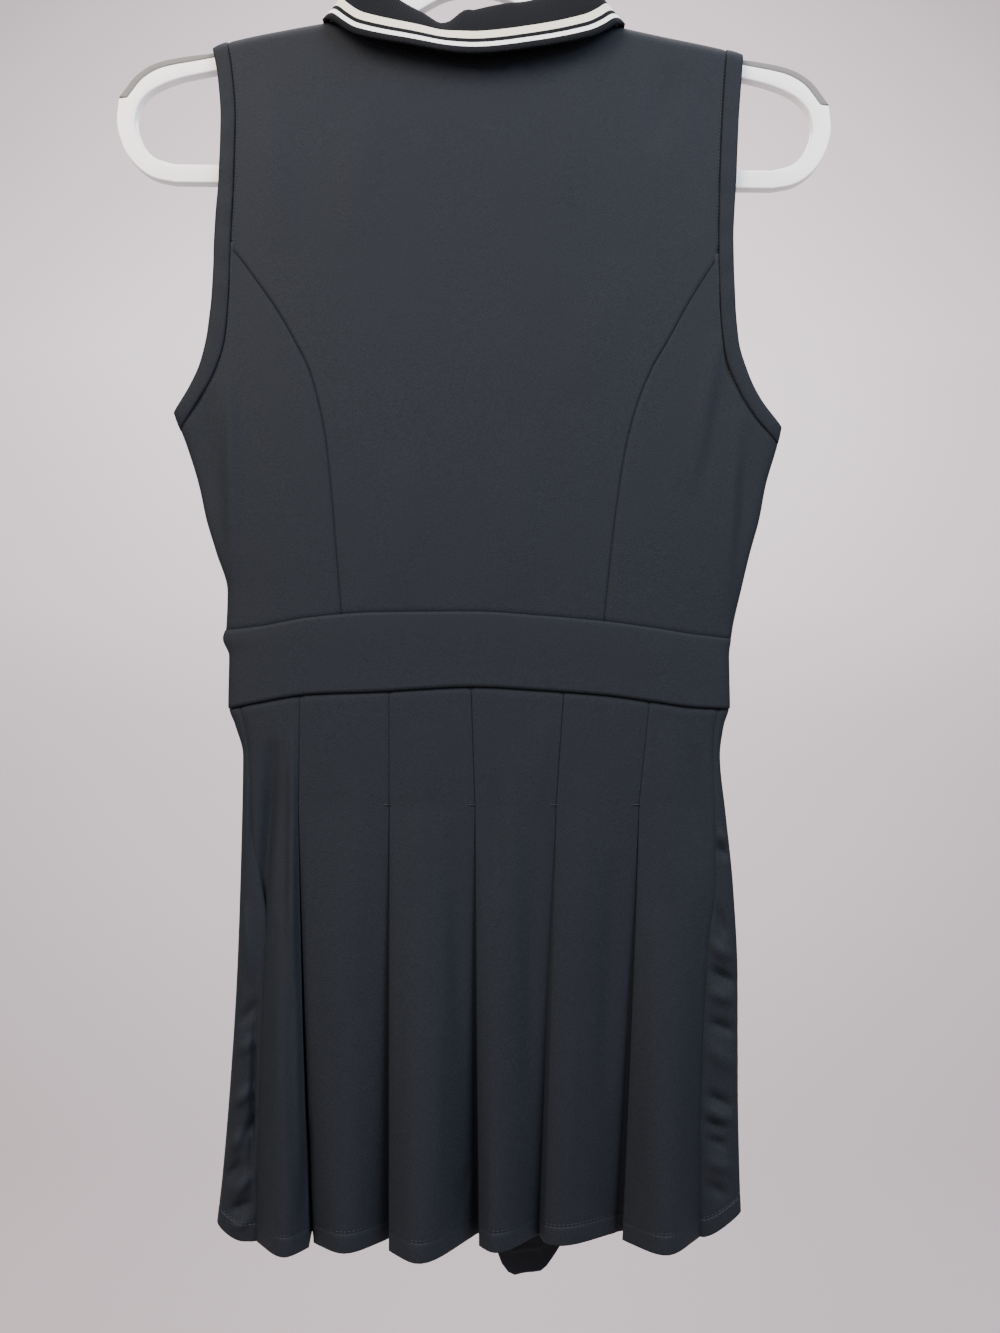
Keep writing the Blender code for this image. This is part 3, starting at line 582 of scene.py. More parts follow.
# %% Front bodice
FRONT_FOLDS = (
    (-104, -122, -60, -218, 10, 1.4), (108, -126, 66, -224, 11, 1.4), (-158, -330, -95, -296, 7, 1.5),
    (158, -338, 92, -302, 7, 1.6), (-50, -350, -58, -458, 14, 1.2), (44, -335, 52, -455, 12, 1.1),
    (-6, -215, 4, -330, 16, -1.0), (124, -370, 130, -460, 6, 1.5), (-126, -362, -130, -458, 7, 1.4),
    (-24, -260, -30, -350, 9, 0.9), (22, -240, 30, -320, 10, 0.8),
)


def front_neck(x):
    top = np.where(x < 0, ridge(-NECK_HALF), ridge(NECK_HALF))
    return lerp(V_BOTTOM, top, np.minimum(1.0, np.abs(x) / NECK_HALF))


def front_y(x, z):
    depth = flat_depth(x, z)
    return depth + relief(x, z, FRONT_FOLDS) * np.clip(depth / 7.0, 0, 1)


def front_top(x):
    top = ridge(x) - 0.002
    return np.where(np.abs(x) < NECK_HALF, np.minimum(top, front_neck(x)), top)


def front_panel(u, v):
    u, aside = past(u, -1, 1)
    v, beyond = past(v, 0, 1)

    def column(z):
        return neck_column(body_edge("left", z, 1.0), body_edge("right", z, 1.0), u, z)

    x, z = settle(column, waist_top, front_top, v)
    armpit = np.where(x < 0, REACH["left"][3], REACH["right"][3])
    x = x + aside * np.clip((z - armpit - 2) / 6, 0, 1)
    z = z + beyond * np.where(v > 0.5, np.abs(x) < NECK_HALF - 3, 1)
    return x, front_y(x, z) - valley(v * 270), z


edge_turn = np.array([0.93, 0.955, 0.972, 0.984, 0.992, 0.997, 1.0])
front_columns = np.concatenate([[-1 - SEAM], -edge_turn[::-1], np.linspace(-0.9, 0.9, 91), edge_turn,
                                [1 + SEAM]])
bodice_front = cloth_grid("front_panel", front_columns[::-1], back_rows, front_panel,
                          CLOTH, BODICE_JERSEY, "bodice_front")

# %% [markdown]
# ## Armhole bindings
#
# A strip of the same jersey is folded over each armhole's edge. It is one ring: down the back,
# round the armpit and up the front. It is thicker than the panel, since it is folded.

# %% Armhole bindings
BINDING = 1.5


def armhole_binding(side):
    """A ring: turn runs 0 to 2 round it, across 0 at the free edge to 1 at the seam."""
    def place(turn, across):
        front = (turn > 1).astype(float)
        share = np.where(turn > 1, 2 - turn, turn)
        edge_x, edge_z = armhole(side, "edge", share, front)
        seam_x, seam_z = armhole(side, "seam", share, front)
        x, z = lerp(edge_x, seam_x, across), lerp(edge_z, seam_z, across)
        z = np.where(share == 0, ridge(x), z)
        puff = 0.25 + 0.5 * np.sin(math.pi * np.clip(across, 0, 1)) ** 0.7
        ripple = 0.18 * np.sin(share * 61 + front * 2) * np.sin(math.pi * share)
        depth = np.where((share == 0) | (share == 1), 0.0, flat_depth(x, z) + puff + ripple)
        return x, np.where(front > 0, depth, -depth), z

    top = np.array([0, 0.002, 0.005, 0.009, 0.014, 0.02, 0.028, 0.037])
    pit = 1 - np.array([0.045, 0.032, 0.022, 0.014, 0.008, 0.004, 0.0015, 0.0005, 0.0])
    down = np.concatenate([top, np.linspace(0.05, 0.94, 100), pit])
    turns = np.concatenate([down, (2 - down[::-1])[1:]])
    return cloth_grid(f"armhole_binding_ring_{side}", turns, np.linspace(0, 1, 9), place,
                      BINDING, BINDING_JERSEY, f"armhole_binding_{side}", closed=True)


binding_left = armhole_binding("left")
binding_right = armhole_binding("right")

# %% [markdown]
# ## Waistband
#
# The band is shaped: higher in the middle, lower at the sides. It is doubled, so it lies
# smooth, and its lower edge stands a little proud of the skirt and shades it.

# %% Waistband
BAND = 1.3


def band(facing):
    def place(u, v):
        def column(z):
            return lerp(outline("left", z), outline("right", z), u)

        x, z = settle(column, lambda x: waist_low(x) - 0.5, lambda x: waist_top(x) + 0.2, v)
        depth = flat_depth(x, z)
        crown = 0.5 * np.sin(math.pi * v) ** 0.6 + 0.7 * (1 - v) ** 5 - 0.2 * v ** 8
        return x, facing * (depth + crown * np.clip((depth - 0.3) / 3, 0, 1)), z

    turn = np.array([0, 0.0008, 0.002, 0.005, 0.01, 0.018, 0.03, 0.05])
    across = np.concatenate([turn, np.linspace(0.07, 0.93, 70), 1 - turn[::-1]])
    name, node = ("back_waistband", "waistband_back") if facing < 0 else ("front_waistband", "waistband_front")
    return cloth_grid(name, across if facing < 0 else across[::-1], np.linspace(0, 1, 24), place,
                      BAND, BODICE_JERSEY, node)


band_back = band(-1)
band_front = band(1)

# %% [markdown]
# ## Pleated skirt
#
# Five pleats on the back are stitched down to the bar tacks and then open to the hem. One row
# of a table is one pleat: its line at waist, tack and hem, how deep its furrow lies at the hem,
# and how far the furrow is lapped under the panel on its right (or left, if negative). Another
# table gives the panels between them: how far each swings out at its left edge, at its peak and
# at its right edge.

# %% Pleat tables
BACK_PLEATS = table(
    "waist tack hem furrow lap", (-107.6, -108.2, -98.2, 2.0, -2.5), (-52.4, -52.1, -51.5, 6.0, 4.0),
    (-1.4, 0.8, 2.6, 2.0, 4.5), (55.4, 50.8, 42.2, 2.0, -3.5), (108.7, 101.9, 90.3, 1.5, 4.0))
BACK_PANELS = table(
    "left peak peak_at right", (17, 35, 0.62, 24), (18, 30, 0.45, 13), (27, 41, 0.36, 7),
    (21, 28.5, 0.25, 6), (18, 20.5, 0.18, 4), (14, 31.5, 0.50, 10))
FRONT_PLEATS = table(
    "waist tack hem furrow lap", (-106, -106, -98, 8, 3), (-53, -53, -50, 8, -3), (0, 0, -5, 8.5, 3),
    (53, 54, 61, 8, -3), (106, 104, 95, 9, 3))
FRONT_PANELS = table(
    "left peak peak_at right", (12, 22, 0.50, 18), (16, 24, 0.40, 15), (18, 26, 0.55, 14),
    (17, 23, 0.40, 16), (15, 25, 0.60, 17), (14, 21, 0.50, 12))
FURROW_TACK, FURROW_HEM = 0.5, 1.3
DIP = table(
    "x drop", (-5, 0), (6, 8), (15, 27), (18.6, 36.3), (25.3, 41.4), (31, 39.7), (42.7, 37), (49.8, 28),
    (55, 19), (59, 11), (64, 6), (84, 0))
SKIRT_LONG = 338.0


def opening(z):
    """How far the pleats have opened, from 0 at the tacks to 1 at the hem."""
    return np.clip((TACK_Z - z) / (TACK_Z - HEM_Z), 0, 1) ** 1.15


def pleat_x(pleats, k, z):
    above = lerp(pleats["tack"][k], pleats["waist"][k], np.clip((z - TACK_Z) / 65.0, 0, 1))
    return np.where(z > TACK_Z, above, lerp(pleats["tack"][k], pleats["hem"][k], opening(z)))


def panel_depth(panels, k, t):
    return smooth((0.0, panels["peak_at"][k], 1.0),
                  (panels["left"][k], panels["peak"][k], panels["right"][k]), t)


def stations(panel_steps, furrow_steps, panels=6):
    """Columns across a pleated sheet: panel number and share, or furrow number (+0.5) and place."""
    t = 0.5 - 0.5 * np.cos(np.linspace(0, math.pi, panel_steps))
    offsets = np.linspace(-1, 1, furrow_steps + 2)[1:-1]
    columns = []
    for k in range(panels):
        columns += [(k, share) for share in t]
        if k < panels - 1:
            columns += [(k + 0.5, offset) for offset in offsets]
    return np.array(columns)


def pleated(columns, pleats, panels, left, right, z):
    """X and depth for each (column, height) pair of a pleated sheet."""
    open_by = opening(z)
    half = lerp(FURROW_TACK, FURROW_HEM, open_by)
    x, depth = np.zeros_like(z), np.zeros_like(z)
    count = len(panels["peak"])
    lines = [left] + [pleat_x(pleats, k, z) for k in range(count - 1)] + [right]
    for k in range(count):
        here = columns[:, 0] == k
        start = (lines[k] + (half if k else 0.0))[here]
        end = (lines[k + 1] - (half if k < count - 1 else 0.0))[here]
        t = columns[here, 1]
        x[here] = lerp(start, end, t)
        swing = lerp(flat_depth(x[here], z[here]), panel_depth(panels, k, t), open_by[here])
        edge = np.minimum(x[here] - start if k else 99.0, end - x[here] if k < count - 1 else 99.0)
        depth[here] = swing - 0.8 * np.exp(-(edge / 1.6) ** 2) * np.clip(open_by[here] * 8, 0.5, 1)
        inside = columns[:, 0] == k + 0.5
        if inside.any():
            offset, level, opened = columns[inside, 1], z[inside], open_by[inside]
            lap = pleats["lap"][k] * np.clip(opened * 3, 0, 1)
            x[inside] = lines[k + 1][inside] + offset * half[inside] + lap * (1 - offset ** 2)
            edge = np.where(offset < 0, panels["right"][k], panels["left"][k + 1])
            wall = np.abs(offset) ** 2.2
            flat = flat_depth(x[inside], level)
            groove = flat - 0.5 - 1.0 * (1 - wall)
            open_depth = lerp(pleats["furrow"][k], edge - 0.8, wall)
            depth[inside] = lerp(groove, open_depth, opened)
    return x, depth


# %% Skirt sheets
def hem(x):
    return smooth(HEM["x"], HEM["z"], x)


def skirt_seam(side, z):
    return smooth(SKIRT_SEAM["z"], SKIRT_SEAM[side], z)


BACK_SKIRT_FOLDS = (
    (-111.5, -600, -103.5, -838, 1.8, 1.6),
    (-124, -540, -131, -665, 4.0, -6.0), (-112, -530, -111, -700, 2.6, 3.6), (-119, -640, -116, -800, 5, 1.8),
    (-75, -560, -70, -700, 8, 1.4), (-86, -700, -78, -836, 7, -1.4), (-30, -530, -36, -640, 7, 1.2),
    (-13, -590, -8, -740, 4.5, -2.6), (-22, -700, -20, -830, 5, 1.6), (12, -560, 15, -640, 3.5, -1.2),
    (24, -540, 21, -720, 6, 1.8), (36, -600, 33, -770, 4, -2.0), (43, -524, 40, -590, 4, 1.2),
    (70, -560, 67, -700, 8, 1.4), (86, -610, 80, -770, 5, -2.2), (60, -720, 57, -830, 4, 1.2),
    (119, -528, 122, -640, 6, 1.8), (134, -540, 140, -620, 5, -1.4), (112, -640, 106, -810, 7, 1.5),
    (-4, -800, -11, -836, 2.5, -2.4), (-12, -812, -6, -846, 2.5, 1.8), (-100, -770, -104, -842, 3, -2.0),
)


def turned_hem(run):
    """The hem is turned up and coverstitched 11 mm above its edge: a little thicker, then a dip."""
    return 0.35 / (1 + np.exp((run - 10.4) * 3)) - valley(run - 11.0, 0.35, 0.9)


back_stations = stations(22, 9)


def back_skirt(index, v):
    columns = back_stations[index.astype(int)]
    v, beyond = past(v, 0, 1)
    z = lerp(HEM_Z, -512.0, v)
    for _ in range(8):
        x, depth = pleated(columns, BACK_PLEATS, BACK_PANELS, skirt_seam("left", z), skirt_seam("right", z), z)
        z = lerp(hem(x), waist_low(x), v)
    seam_run = np.minimum(x - skirt_seam("left", z), skirt_seam("right", z) - x)
    depth = depth + relief(x, z, BACK_SKIRT_FOLDS) + turned_hem(z - hem(x))
    dip = valley((1 - v) * SKIRT_LONG, 1.1, 2.4) + valley(seam_run, 0.6, 1.3) + 0.2 * (beyond > 0)
    return x, -(depth - dip), z + beyond


skirt_rows = np.concatenate([
    np.array([0, 1, 2.5, 4.5, 6.5, 8.5, 9.7, 10.4, 11, 11.6, 12.4, 14, 16]) / SKIRT_LONG,
    np.linspace(0.058, 0.97, 110), 1 - np.array([7, 5, 3.6, 2.4, 1.4, 0.6, 0]) / SKIRT_LONG, [1 + SEAM]])
skirt_back = cloth_grid("back_skirt", np.arange(len(back_stations)), skirt_rows, back_skirt,
                        CLOTH, BODICE_JERSEY, "skirt_back")

# %% [markdown]
# ## Front skirt
#
# The front skirt is wider than the back and wraps round both sides, so its edges show on the
# back as two narrow strips. Those strips carry the weight of the side seam and crumple into
# short wrinkles. One part of its hem hangs lower and shows between two pleats.

# %% Front skirt
STRIP_STEPS = 34
TURN_STEPS = np.array([0.25, 0.7, 1.5, 3.0, 5.0, 8.0, 11.5])
STRIP_FOLDS = (
    (147, -604, 158, -613, 2.6, -2.0), (150, -598, 160, -604, 2.6, 1.4), (143, -664, 161, -676, 3.4, 2.2),
    (143, -680, 166, -693, 3.0, -3.4), (142, -694, 164, -702, 3.2, 2.2), (141, -712, 165, -722, 3.0, -2.8),
    (141, -726, 164, -744, 5.0, 1.8), (141, -757, 161, -767, 2.8, -2.6), (141, -767, 162, -776, 2.8, 2.0),
    (140, -773, 156, -780, 2.6, -2.4), (142, -785, 158, -791, 2.6, -2.2), (160, -700, 163, -780, 2.6, 1.8),
    (141, -798, 163, -806, 3.4, 1.8), (141, -812, 158, -822, 3.2, -2.2), (148, -640, 156, -662, 3.0, -1.6),
    (-136, -690, -142, -640, 3.2, 1.6), (-131, -700, -146, -716, 3.0, -1.8), (-131, -722, -147, -732, 3.4, 1.6),
    (-133, -752, -150, -764, 3.2, 2.4), (-131, -766, -142, -786, 2.8, -3.0), (-137, -778, -152, -792, 3.4, 2.4),
    (-140, -796, -155, -812, 3.4, -2.6), (-133, -804, -148, -818, 2.8, 2.6), (-132, -820, -150, -828, 2.8, -3.0),
    (-133, -831, -148, -837, 2.4, 1.8), (-139, -560, -141, -622, 2.4, 1.0),
)
FRONT_SKIRT_FOLDS = (
    (-80, -560, -74, -700, 8, 1.5), (-28, -560, -22, -690, 7, -1.8), (24, -560, 18, -700, 8, 1.5),
    (76, -580, 70, -720, 7, -1.8), (128, -560, 132, -690, 6, 1.6), (-128, -590, -134, -740, 6, 1.8),
    (60, -700, 66, -820, 5, -1.6), (-60, -720, -66, -830, 5, -1.6),
)


def strip(side, share, z):
    """The wrapped edge: share 1 at the seam on the back, 0 at the fold."""
    seam_depth = BACK_PANELS["left"][0] if side == "left" else BACK_PANELS["right"][-1]
    x = lerp(outline(side, z), skirt_seam(side, z), share)
    round_off = (1 - (1 - share) ** 4) ** 0.25
    depth = lerp(flat_depth(x, z), seam_depth * round_off, opening(z))
    crumple = 1.45 * relief(x, z, STRIP_FOLDS) * np.sin(math.pi * np.clip(share, 0, 1)) ** 0.8
    seam_run = np.abs(x - skirt_seam(side, z))
    furrow = 3.5 * np.exp(-((z + 755) / 45) ** 2) if side == "left" else 0.0
    return x, depth + crumple - valley(seam_run, 0.9, 1.8) - valley(seam_run - 4.5, furrow, 2.0)


front_stations = stations(24, 7)
strip_shares = 1 - np.linspace(0, 1, STRIP_STEPS)
turn_share = (1 - (1 - np.minimum(TURN_STEPS / 16.0, 1)) ** 4) ** 0.25
FIRST_FRONT = STRIP_STEPS + len(TURN_STEPS)
FRONT_COUNT = 2 * FIRST_FRONT + len(front_stations)


def front_skirt(index, v):
    index = index.astype(int)
    v, beyond = past(v, 0, 1)
    step = np.minimum(index, FRONT_COUNT - 1 - index)
    z = lerp(HEM_Z, -512.0, v)
    for _ in range(8):
        x, y = np.zeros_like(z), np.zeros_like(z)
        for side, sign, here_side in (("left", -1, index < FRONT_COUNT / 2), ("right", 1, index >= FRONT_COUNT / 2)):
            here = here_side & (step < STRIP_STEPS)
            share = strip_shares[step[here]]
            sx, depth = strip(side, share, z[here])
            x[here] = sx - sign * SEAM * (share == 1)
            y[here] = np.where(share == 0, 0.0, -(depth - 0.5 * (share == 1)))
            here = here_side & (step >= STRIP_STEPS) & (step < FIRST_FRONT)
            turn = step[here] - STRIP_STEPS
            x[here] = outline(side, z[here]) - sign * TURN_STEPS[turn]
            edge = FRONT_PANELS["left"][0] if side == "left" else FRONT_PANELS["right"][-1]
            y[here] = lerp(flat_depth(x[here], z[here]), edge * turn_share[turn], opening(z[here]))
        here = step >= FIRST_FRONT
        x[here], y[here] = pleated(
            front_stations[index[here] - FIRST_FRONT], FRONT_PLEATS, FRONT_PANELS,
            (outline("left", z) + 16)[here], (outline("right", z) - 16)[here], z[here])
        z = lerp(hem(x), waist_low(x), v)
    outward = np.sign(y) * (turned_hem(z - hem(x)) - valley((1 - v) * SKIRT_LONG, 1.1, 2.4) - 0.2 * (beyond > 0))
    folds = np.where(step >= FIRST_FRONT, relief(x, z, FRONT_SKIRT_FOLDS), 0.0)
    dip = smooth(DIP["x"], DIP["drop"], x) * (1 - v) ** 4
    return x, y + outward + folds, z + beyond - np.where(step >= FIRST_FRONT, dip, 0.0)


skirt_front = cloth_grid("front_skirt", np.arange(FRONT_COUNT)[::-1], skirt_rows, front_skirt,
                         CLOTH, BODICE_JERSEY, "skirt_front")

# %% [markdown]
# ## Collar
#
# The collar is one knitted strip. It stands up from the neckline, rolls over and falls as a
# leaf. Its cross-section is one curve from the seam over the roll to the edge, and it changes
# as it goes round: tall at the sides, lower at the back centre, spread flat at the front.

# %% Collar
COLLAR = table(
    "x lean rise out turn leaf_out leaf_side leaf_drop",
    (0.0, 0.0, 26.0, 3.0, 0, 13.5, 0.0, -1.0), (35.0, -2.0, 31.5, 3.0, 5, 13.5, 2.0, -1.0),
    (66.0, -8.0, 32.0, 2.5, 25, 11.0, 6.0, -2.5), (77.0, -10.0, 28.0, 1.5, 50, 7.5, 10.0, -1.8),
    (80.2, -13.0, 22.0, 0.0, 90, 0.8, 13.0, -1.4), (76.0, -12.0, 26.0, -1.0, 40, 7.0, 13.0, 1.0),
    (52.0, -9.0, 20.0, 3.0, 8, 9.0, 21.0, 5.0), (30.0, -7.0, 15.0, 3.5, 0, 8.5, 22.0, 7.0),
    (8.0, -5.0, 11.0, 3.5, 0, 8.0, 22.0, 9.0))
ROLL = table(
    "x lift", (-75, 0), (-60, -1.5), (-46, -5), (-32, -8.3), (-22, -11), (-17, -9), (-3, 3.4), (7, 3.7),
    (20, 2.5), (34, 0), (75, 0))
ROLL_GAP = 5.0
NECK_POINT_LIFT = 1.6
COLLAR_KNIT_WALL = 1.5


def collar_points(station, t):
    """Points on the collar: station -8 to 8 round the neck, t 0 at the seam to 1 at the edge."""
    side, at = np.where(station < 0, -1.0, 1.0), np.abs(station)
    sized = {name: smooth(np.arange(9), COLLAR[name], at) for name in COLLAR}
    x = side * sized["x"]
    front = at >= 4.0
    z = np.where(front, front_neck(x), smooth(BACK_NECK["x"], BACK_NECK["z"], x)) - 0.2
    facing = np.where(front, 1.0, -1.0)
    lift = NECK_POINT_LIFT * np.maximum(0.0, 1 - (NECK_HALF - sized["x"]) / 8.0)
    seam = np.stack([x, facing * flat_depth(x, z), z + lift])
    rise = sized["rise"] + np.where(front, 0.0, smooth(ROLL["x"], ROLL["lift"], x))
    roll = seam + np.stack([side * sized["lean"], facing * sized["out"], rise])
    leaf = seam + np.stack([side * sized["leaf_side"], facing * sized["leaf_out"], sized["leaf_drop"]])
    turn = np.radians(sized["turn"])
    spread = ROLL_GAP * np.stack([side * np.sin(turn), facing * np.cos(turn), np.zeros_like(turn)])
    first, last = seam + 1.3 * (roll - seam), leaf + 1.3 * (roll + spread - leaf)
    curve = ((1 - t) ** 3 * seam + 3 * t * (1 - t) ** 2 * first + 3 * t * t * (1 - t) * last
             + t ** 3 * leaf)
    return curve[0], curve[1], curve[2]


def collar_uv(station, t):
    """Millimetres along the collar, and millimetres from the leaf's edge."""
    steps = np.linspace(0, 1, 60)
    along = station * 28.0
    distance = np.zeros_like(t)
    for s in np.unique(station):
        x, y, z = collar_points(np.full_like(steps, s), steps)
        run = np.concatenate([[0], np.cumsum(np.sqrt(np.diff(x) ** 2 + np.diff(y) ** 2 + np.diff(z) ** 2))])
        here = station == s
        distance[here] = run[-1] - np.interp(t[here], steps, run)
    return along, distance


collar_stations = np.linspace(-8, 8, 193)
collar_stations[np.abs(collar_stations) < 1e-9] = 1e-6
collar = cloth_grid("striped_collar", collar_stations, np.linspace(0, 1, 56), collar_points,
                    COLLAR_KNIT_WALL, COLLAR_KNIT, "collar", uv=("collar", collar_uv))

# %% [markdown]
# ## Hanger
#
# The frame is a flat moulded loop with softened edges. Its outline is a curve, filled,
# extruded and bevelled, then made a mesh. The hook is a bent round bar.

# %% Hanger
ARM_TOP = ((0, -60), (12, -62.5), (30, -71.5), (60, -88), (86, -101.5), (110, -106.7), (169, -118.9),
           (194, -124), (205.5, -130.3), (215.8, -142.9))
END_OUTER = ((221, -143.6), (222.3, -157.5), (219, -172), (210, -185.5), (198, -193.2), (186, -195.6))
LOOP_INNER = ((0, -75), (14, -77), (40, -90.5), (88, -112.8), (110, -117), (167, -127.2), (181, -130.3),
              (194, -135), (203, -140.7), (209, -149), (210.6, -158), (207, -170), (198, -180.5),
              (186, -184.2))
PAD_TOP = ((96, -99.6), (150, -111.2), (165, -115), (173, -115.9), (193.5, -119.7), (202.5, -123.3),
           (210.8, -129.4), (217.5, -138), (221, -142.6))
TILT = math.tan(math.radians(0.6))
EDGE_ROUND = 1.1


def bend(points, step=2.5):
    """Points along a smooth curve through the given ones, a step apart."""
    points = np.array(points, float)
    run = np.concatenate([[0], np.cumsum(np.hypot(*np.diff(points, axis=0).T))])
    at = np.linspace(0, run[-1], max(2, int(run[-1] / step)))
    return np.stack([smooth(run, points[:, 0], at), smooth(run, points[:, 1], at)], axis=1)


def moulded(name, loops, half_depth, finish, node, rounding):
    """A flat piece from closed outlines in the XZ plane, with rounded edges, as one mesh."""
    curve = bpy.data.curves.new(name, "CURVE")
    curve.dimensions = "2D"
    curve.fill_mode = "BOTH"
    curve.extrude = (half_depth - rounding) * MM
    curve.bevel_depth = rounding * MM
    curve.bevel_resolution = 3
    curve.offset = -rounding * MM
    for loop in loops:
        spline = curve.splines.new("POLY")
        spline.points.add(len(loop) - 1)
        for point, (x, z) in zip(spline.points, loop):
            point.co = (x * MM, (z - x * TILT) * MM, 0.0, 1.0)
        spline.use_cyclic_u = True
    piece = bpy.data.objects.new(name, curve)
    bpy.context.scene.collection.objects.link(piece)
    piece.rotation_euler = (math.radians(90), 0, 0)
    bpy.context.view_layer.objects.active = piece
    piece.select_set(True)
    bpy.ops.object.convert(target="MESH")
    piece = bpy.context.object
    bpy.ops.object.transform_apply(location=True, rotation=True, scale=True)
    bpy.ops.object.mode_set(mode="EDIT")
    bpy.ops.mesh.select_all(action="SELECT")
    bpy.ops.mesh.remove_doubles(threshold=0.00001)
    bpy.ops.mesh.normals_make_consistent(inside=False)
    bpy.ops.object.mode_set(mode="OBJECT")
    bpy.ops.object.shade_smooth_by_angle(angle=math.radians(40))
    piece.data.materials.clear()
    piece.data.materials.append(finish)
    piece.select_set(False)
    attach(piece, "root")
    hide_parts(node)
    print(name, len(piece.data.polygons), "faces")
    return piece


def both_halves(points):
    mirror = points[::-1][points[::-1][:, 0] > 1e-6] * (-1, 1)
    return np.concatenate([points, mirror])


outer = np.concatenate([bend(ARM_TOP), bend(END_OUTER)])
hanger = moulded("hanger_loop", [both_halves(outer), both_halves(bend(LOOP_INNER))], 3.8, HANGER_ABS,
                 "hanger_frame", EDGE_ROUND)


def pad(side):
    sign = -1 if side == "left" else 1
    arm = bend(ARM_TOP)
    arm = arm[arm[:, 0] > 96] + (0.15, 0.3)
    loop = np.concatenate([bend(PAD_TOP), arm[::-1]]) * (sign, 1)
    return moulded(f"grip_pad_{side}", [loop], 3.2, PAD_RUBBER, f"hanger_pad_{side}", 0.7)


pad_left, pad_right = pad("left"), pad("right")

# %% Hook
HOOK_WIRE = 3.2
HOOK_RADIUS = 20.0 + HOOK_WIRE


def hook():
    path = [(0.0, -59.6), (0.0, -53.0), (3.0, -47.0), (9.0, -41.5)]
    for degrees in range(-45, 206, 6):
        angle = math.radians(degrees)
        path.append((HOOK_RADIUS * math.cos(angle), HOOK_RADIUS * math.sin(angle) - 20.0))
    path = bend(path, 1.5)
    curve = bpy.data.curves.new("hook_bar", "CURVE")
    curve.dimensions = "3D"
    curve.bevel_depth = HOOK_WIRE * MM
    curve.bevel_resolution = 5
    curve.use_fill_caps = True
    spline = curve.splines.new("POLY")
    spline.points.add(len(path) - 1)
    for k, (point, (x, z)) in enumerate(zip(spline.points, path)):
        point.co = (x * MM, 0.0, z * MM, 1.0)
        left = (len(path) - 1 - k) * 1.5 / HOOK_WIRE
        point.radius = math.sqrt(max(0.02, 1 - max(0.0, 1 - left) ** 2))
    piece = bpy.data.objects.new("hook_bar", curve)
    bpy.context.scene.collection.objects.link(piece)
    bpy.context.view_layer.objects.active = piece
    piece.select_set(True)
    bpy.ops.object.convert(target="MESH")
    piece = bpy.context.object
    bpy.ops.object.mode_set(mode="EDIT")
    bpy.ops.mesh.select_all(action="SELECT")
    bpy.ops.mesh.remove_doubles(threshold=0.00001)
    bpy.ops.mesh.normals_make_consistent(inside=False)
    bpy.ops.object.mode_set(mode="OBJECT")
    bpy.ops.object.shade_smooth()
    piece.data.materials.clear()
    piece.data.materials.append(HANGER_ABS)
    piece.select_set(False)
    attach(piece, "root")
    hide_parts("hanger_hook")
    return piece


hook_piece = hook()
print("hook has", len(hook_piece.data.polygons), "faces")

# %% [markdown]
# ## Stitches
#
# Each row of stitches is laid along the cloth's own surface: a path in millimetres is cut into
# short dashes, and each dash is a bar of thread with round ends. The neckline and armholes have
# a topstitch beside the seam, the hem a coverstitch 11 mm up, and each pleat is stitched down
# as far as its bar tack.

# %% Stitches
def stitches(name, paths, length, gap, radius, finish):
    """Dashes of thread along paths given in millimetres, as one mesh."""
    curve = bpy.data.curves.new(name, "CURVE")
    curve.dimensions = "3D"
    curve.bevel_depth = radius * MM
    curve.bevel_resolution = 1
    curve.use_fill_caps = True
    for path in paths:
        path = np.asarray(path, float)
        run = np.concatenate([[0], np.cumsum(np.linalg.norm(np.diff(path, axis=0), axis=1))])
        for start in np.arange(gap / 2, run[-1] - length, length + gap):
            spline = curve.splines.new("POLY")
            spline.points.add(2)
            for point, at in zip(spline.points, (start, start + length / 2, start + length)):
                x, y, z = (np.interp(at, run, path[:, axis]) for axis in range(3))
                point.co = (x * MM, y * MM, z * MM, 1.0)
            spline.points[0].radius = spline.points[2].radius = 0.5
    rows = bpy.data.objects.new(name, curve)
    bpy.context.scene.collection.objects.link(rows)
    bpy.context.view_layer.objects.active = rows
    rows.select_set(True)
    bpy.ops.object.convert(target="MESH")
    rows = bpy.context.object
    bpy.ops.object.shade_smooth()
    rows.data.materials.clear()
    rows.data.materials.append(finish)
    rows.select_set(False)
    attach(rows, "root")
    print(name, len(rows.data.polygons), "faces")
    return rows


def on_back(x, z, lift=0.5):
    return np.stack([x, back_y(x, z) - lift, z], axis=1)


def on_front(x, z, lift=0.5):
    return np.stack([x, front_y(x, z) + lift, z], axis=1)


neck_x = np.linspace(-72, 72, 200)
neck_row = on_back(neck_x, smooth(BACK_NECK["x"], BACK_NECK["z"], neck_x) - 1.5, 0.45)
v_x = np.linspace(3, 74, 120)
v_rows = [on_front(sign * v_x, front_neck(sign * v_x) - 1.6) for sign in (-1, 1)]
stitches("neckline_topstitch", [neck_row] + v_rows, 1.5, 0.9, 0.32, DARK_THREAD)

armhole_rows = []
for side, inward in (("left", 1), ("right", -1)):
    share = np.linspace(0.03, 0.95, 300)
    for front, lay in ((0.0, on_back), (1.0, on_front)):
        seam_x, seam_z = armhole(side, "seam", share, front)
        armhole_rows.append(lay(seam_x + inward * 1.5, seam_z, 0.45))
stitches("armhole_topstitch", armhole_rows, 1.3, 0.9, 0.26, DARK_THREAD)


def skirt_row(sheet, indices, height):
    """A row along a skirt sheet, a height above its hem, kept just outside the cloth."""
    x, y, z = sheet(np.asarray(indices, float), np.full(len(indices), height / SKIRT_LONG))
    return np.stack([x, y + np.sign(y) * 0.42, z], axis=1)


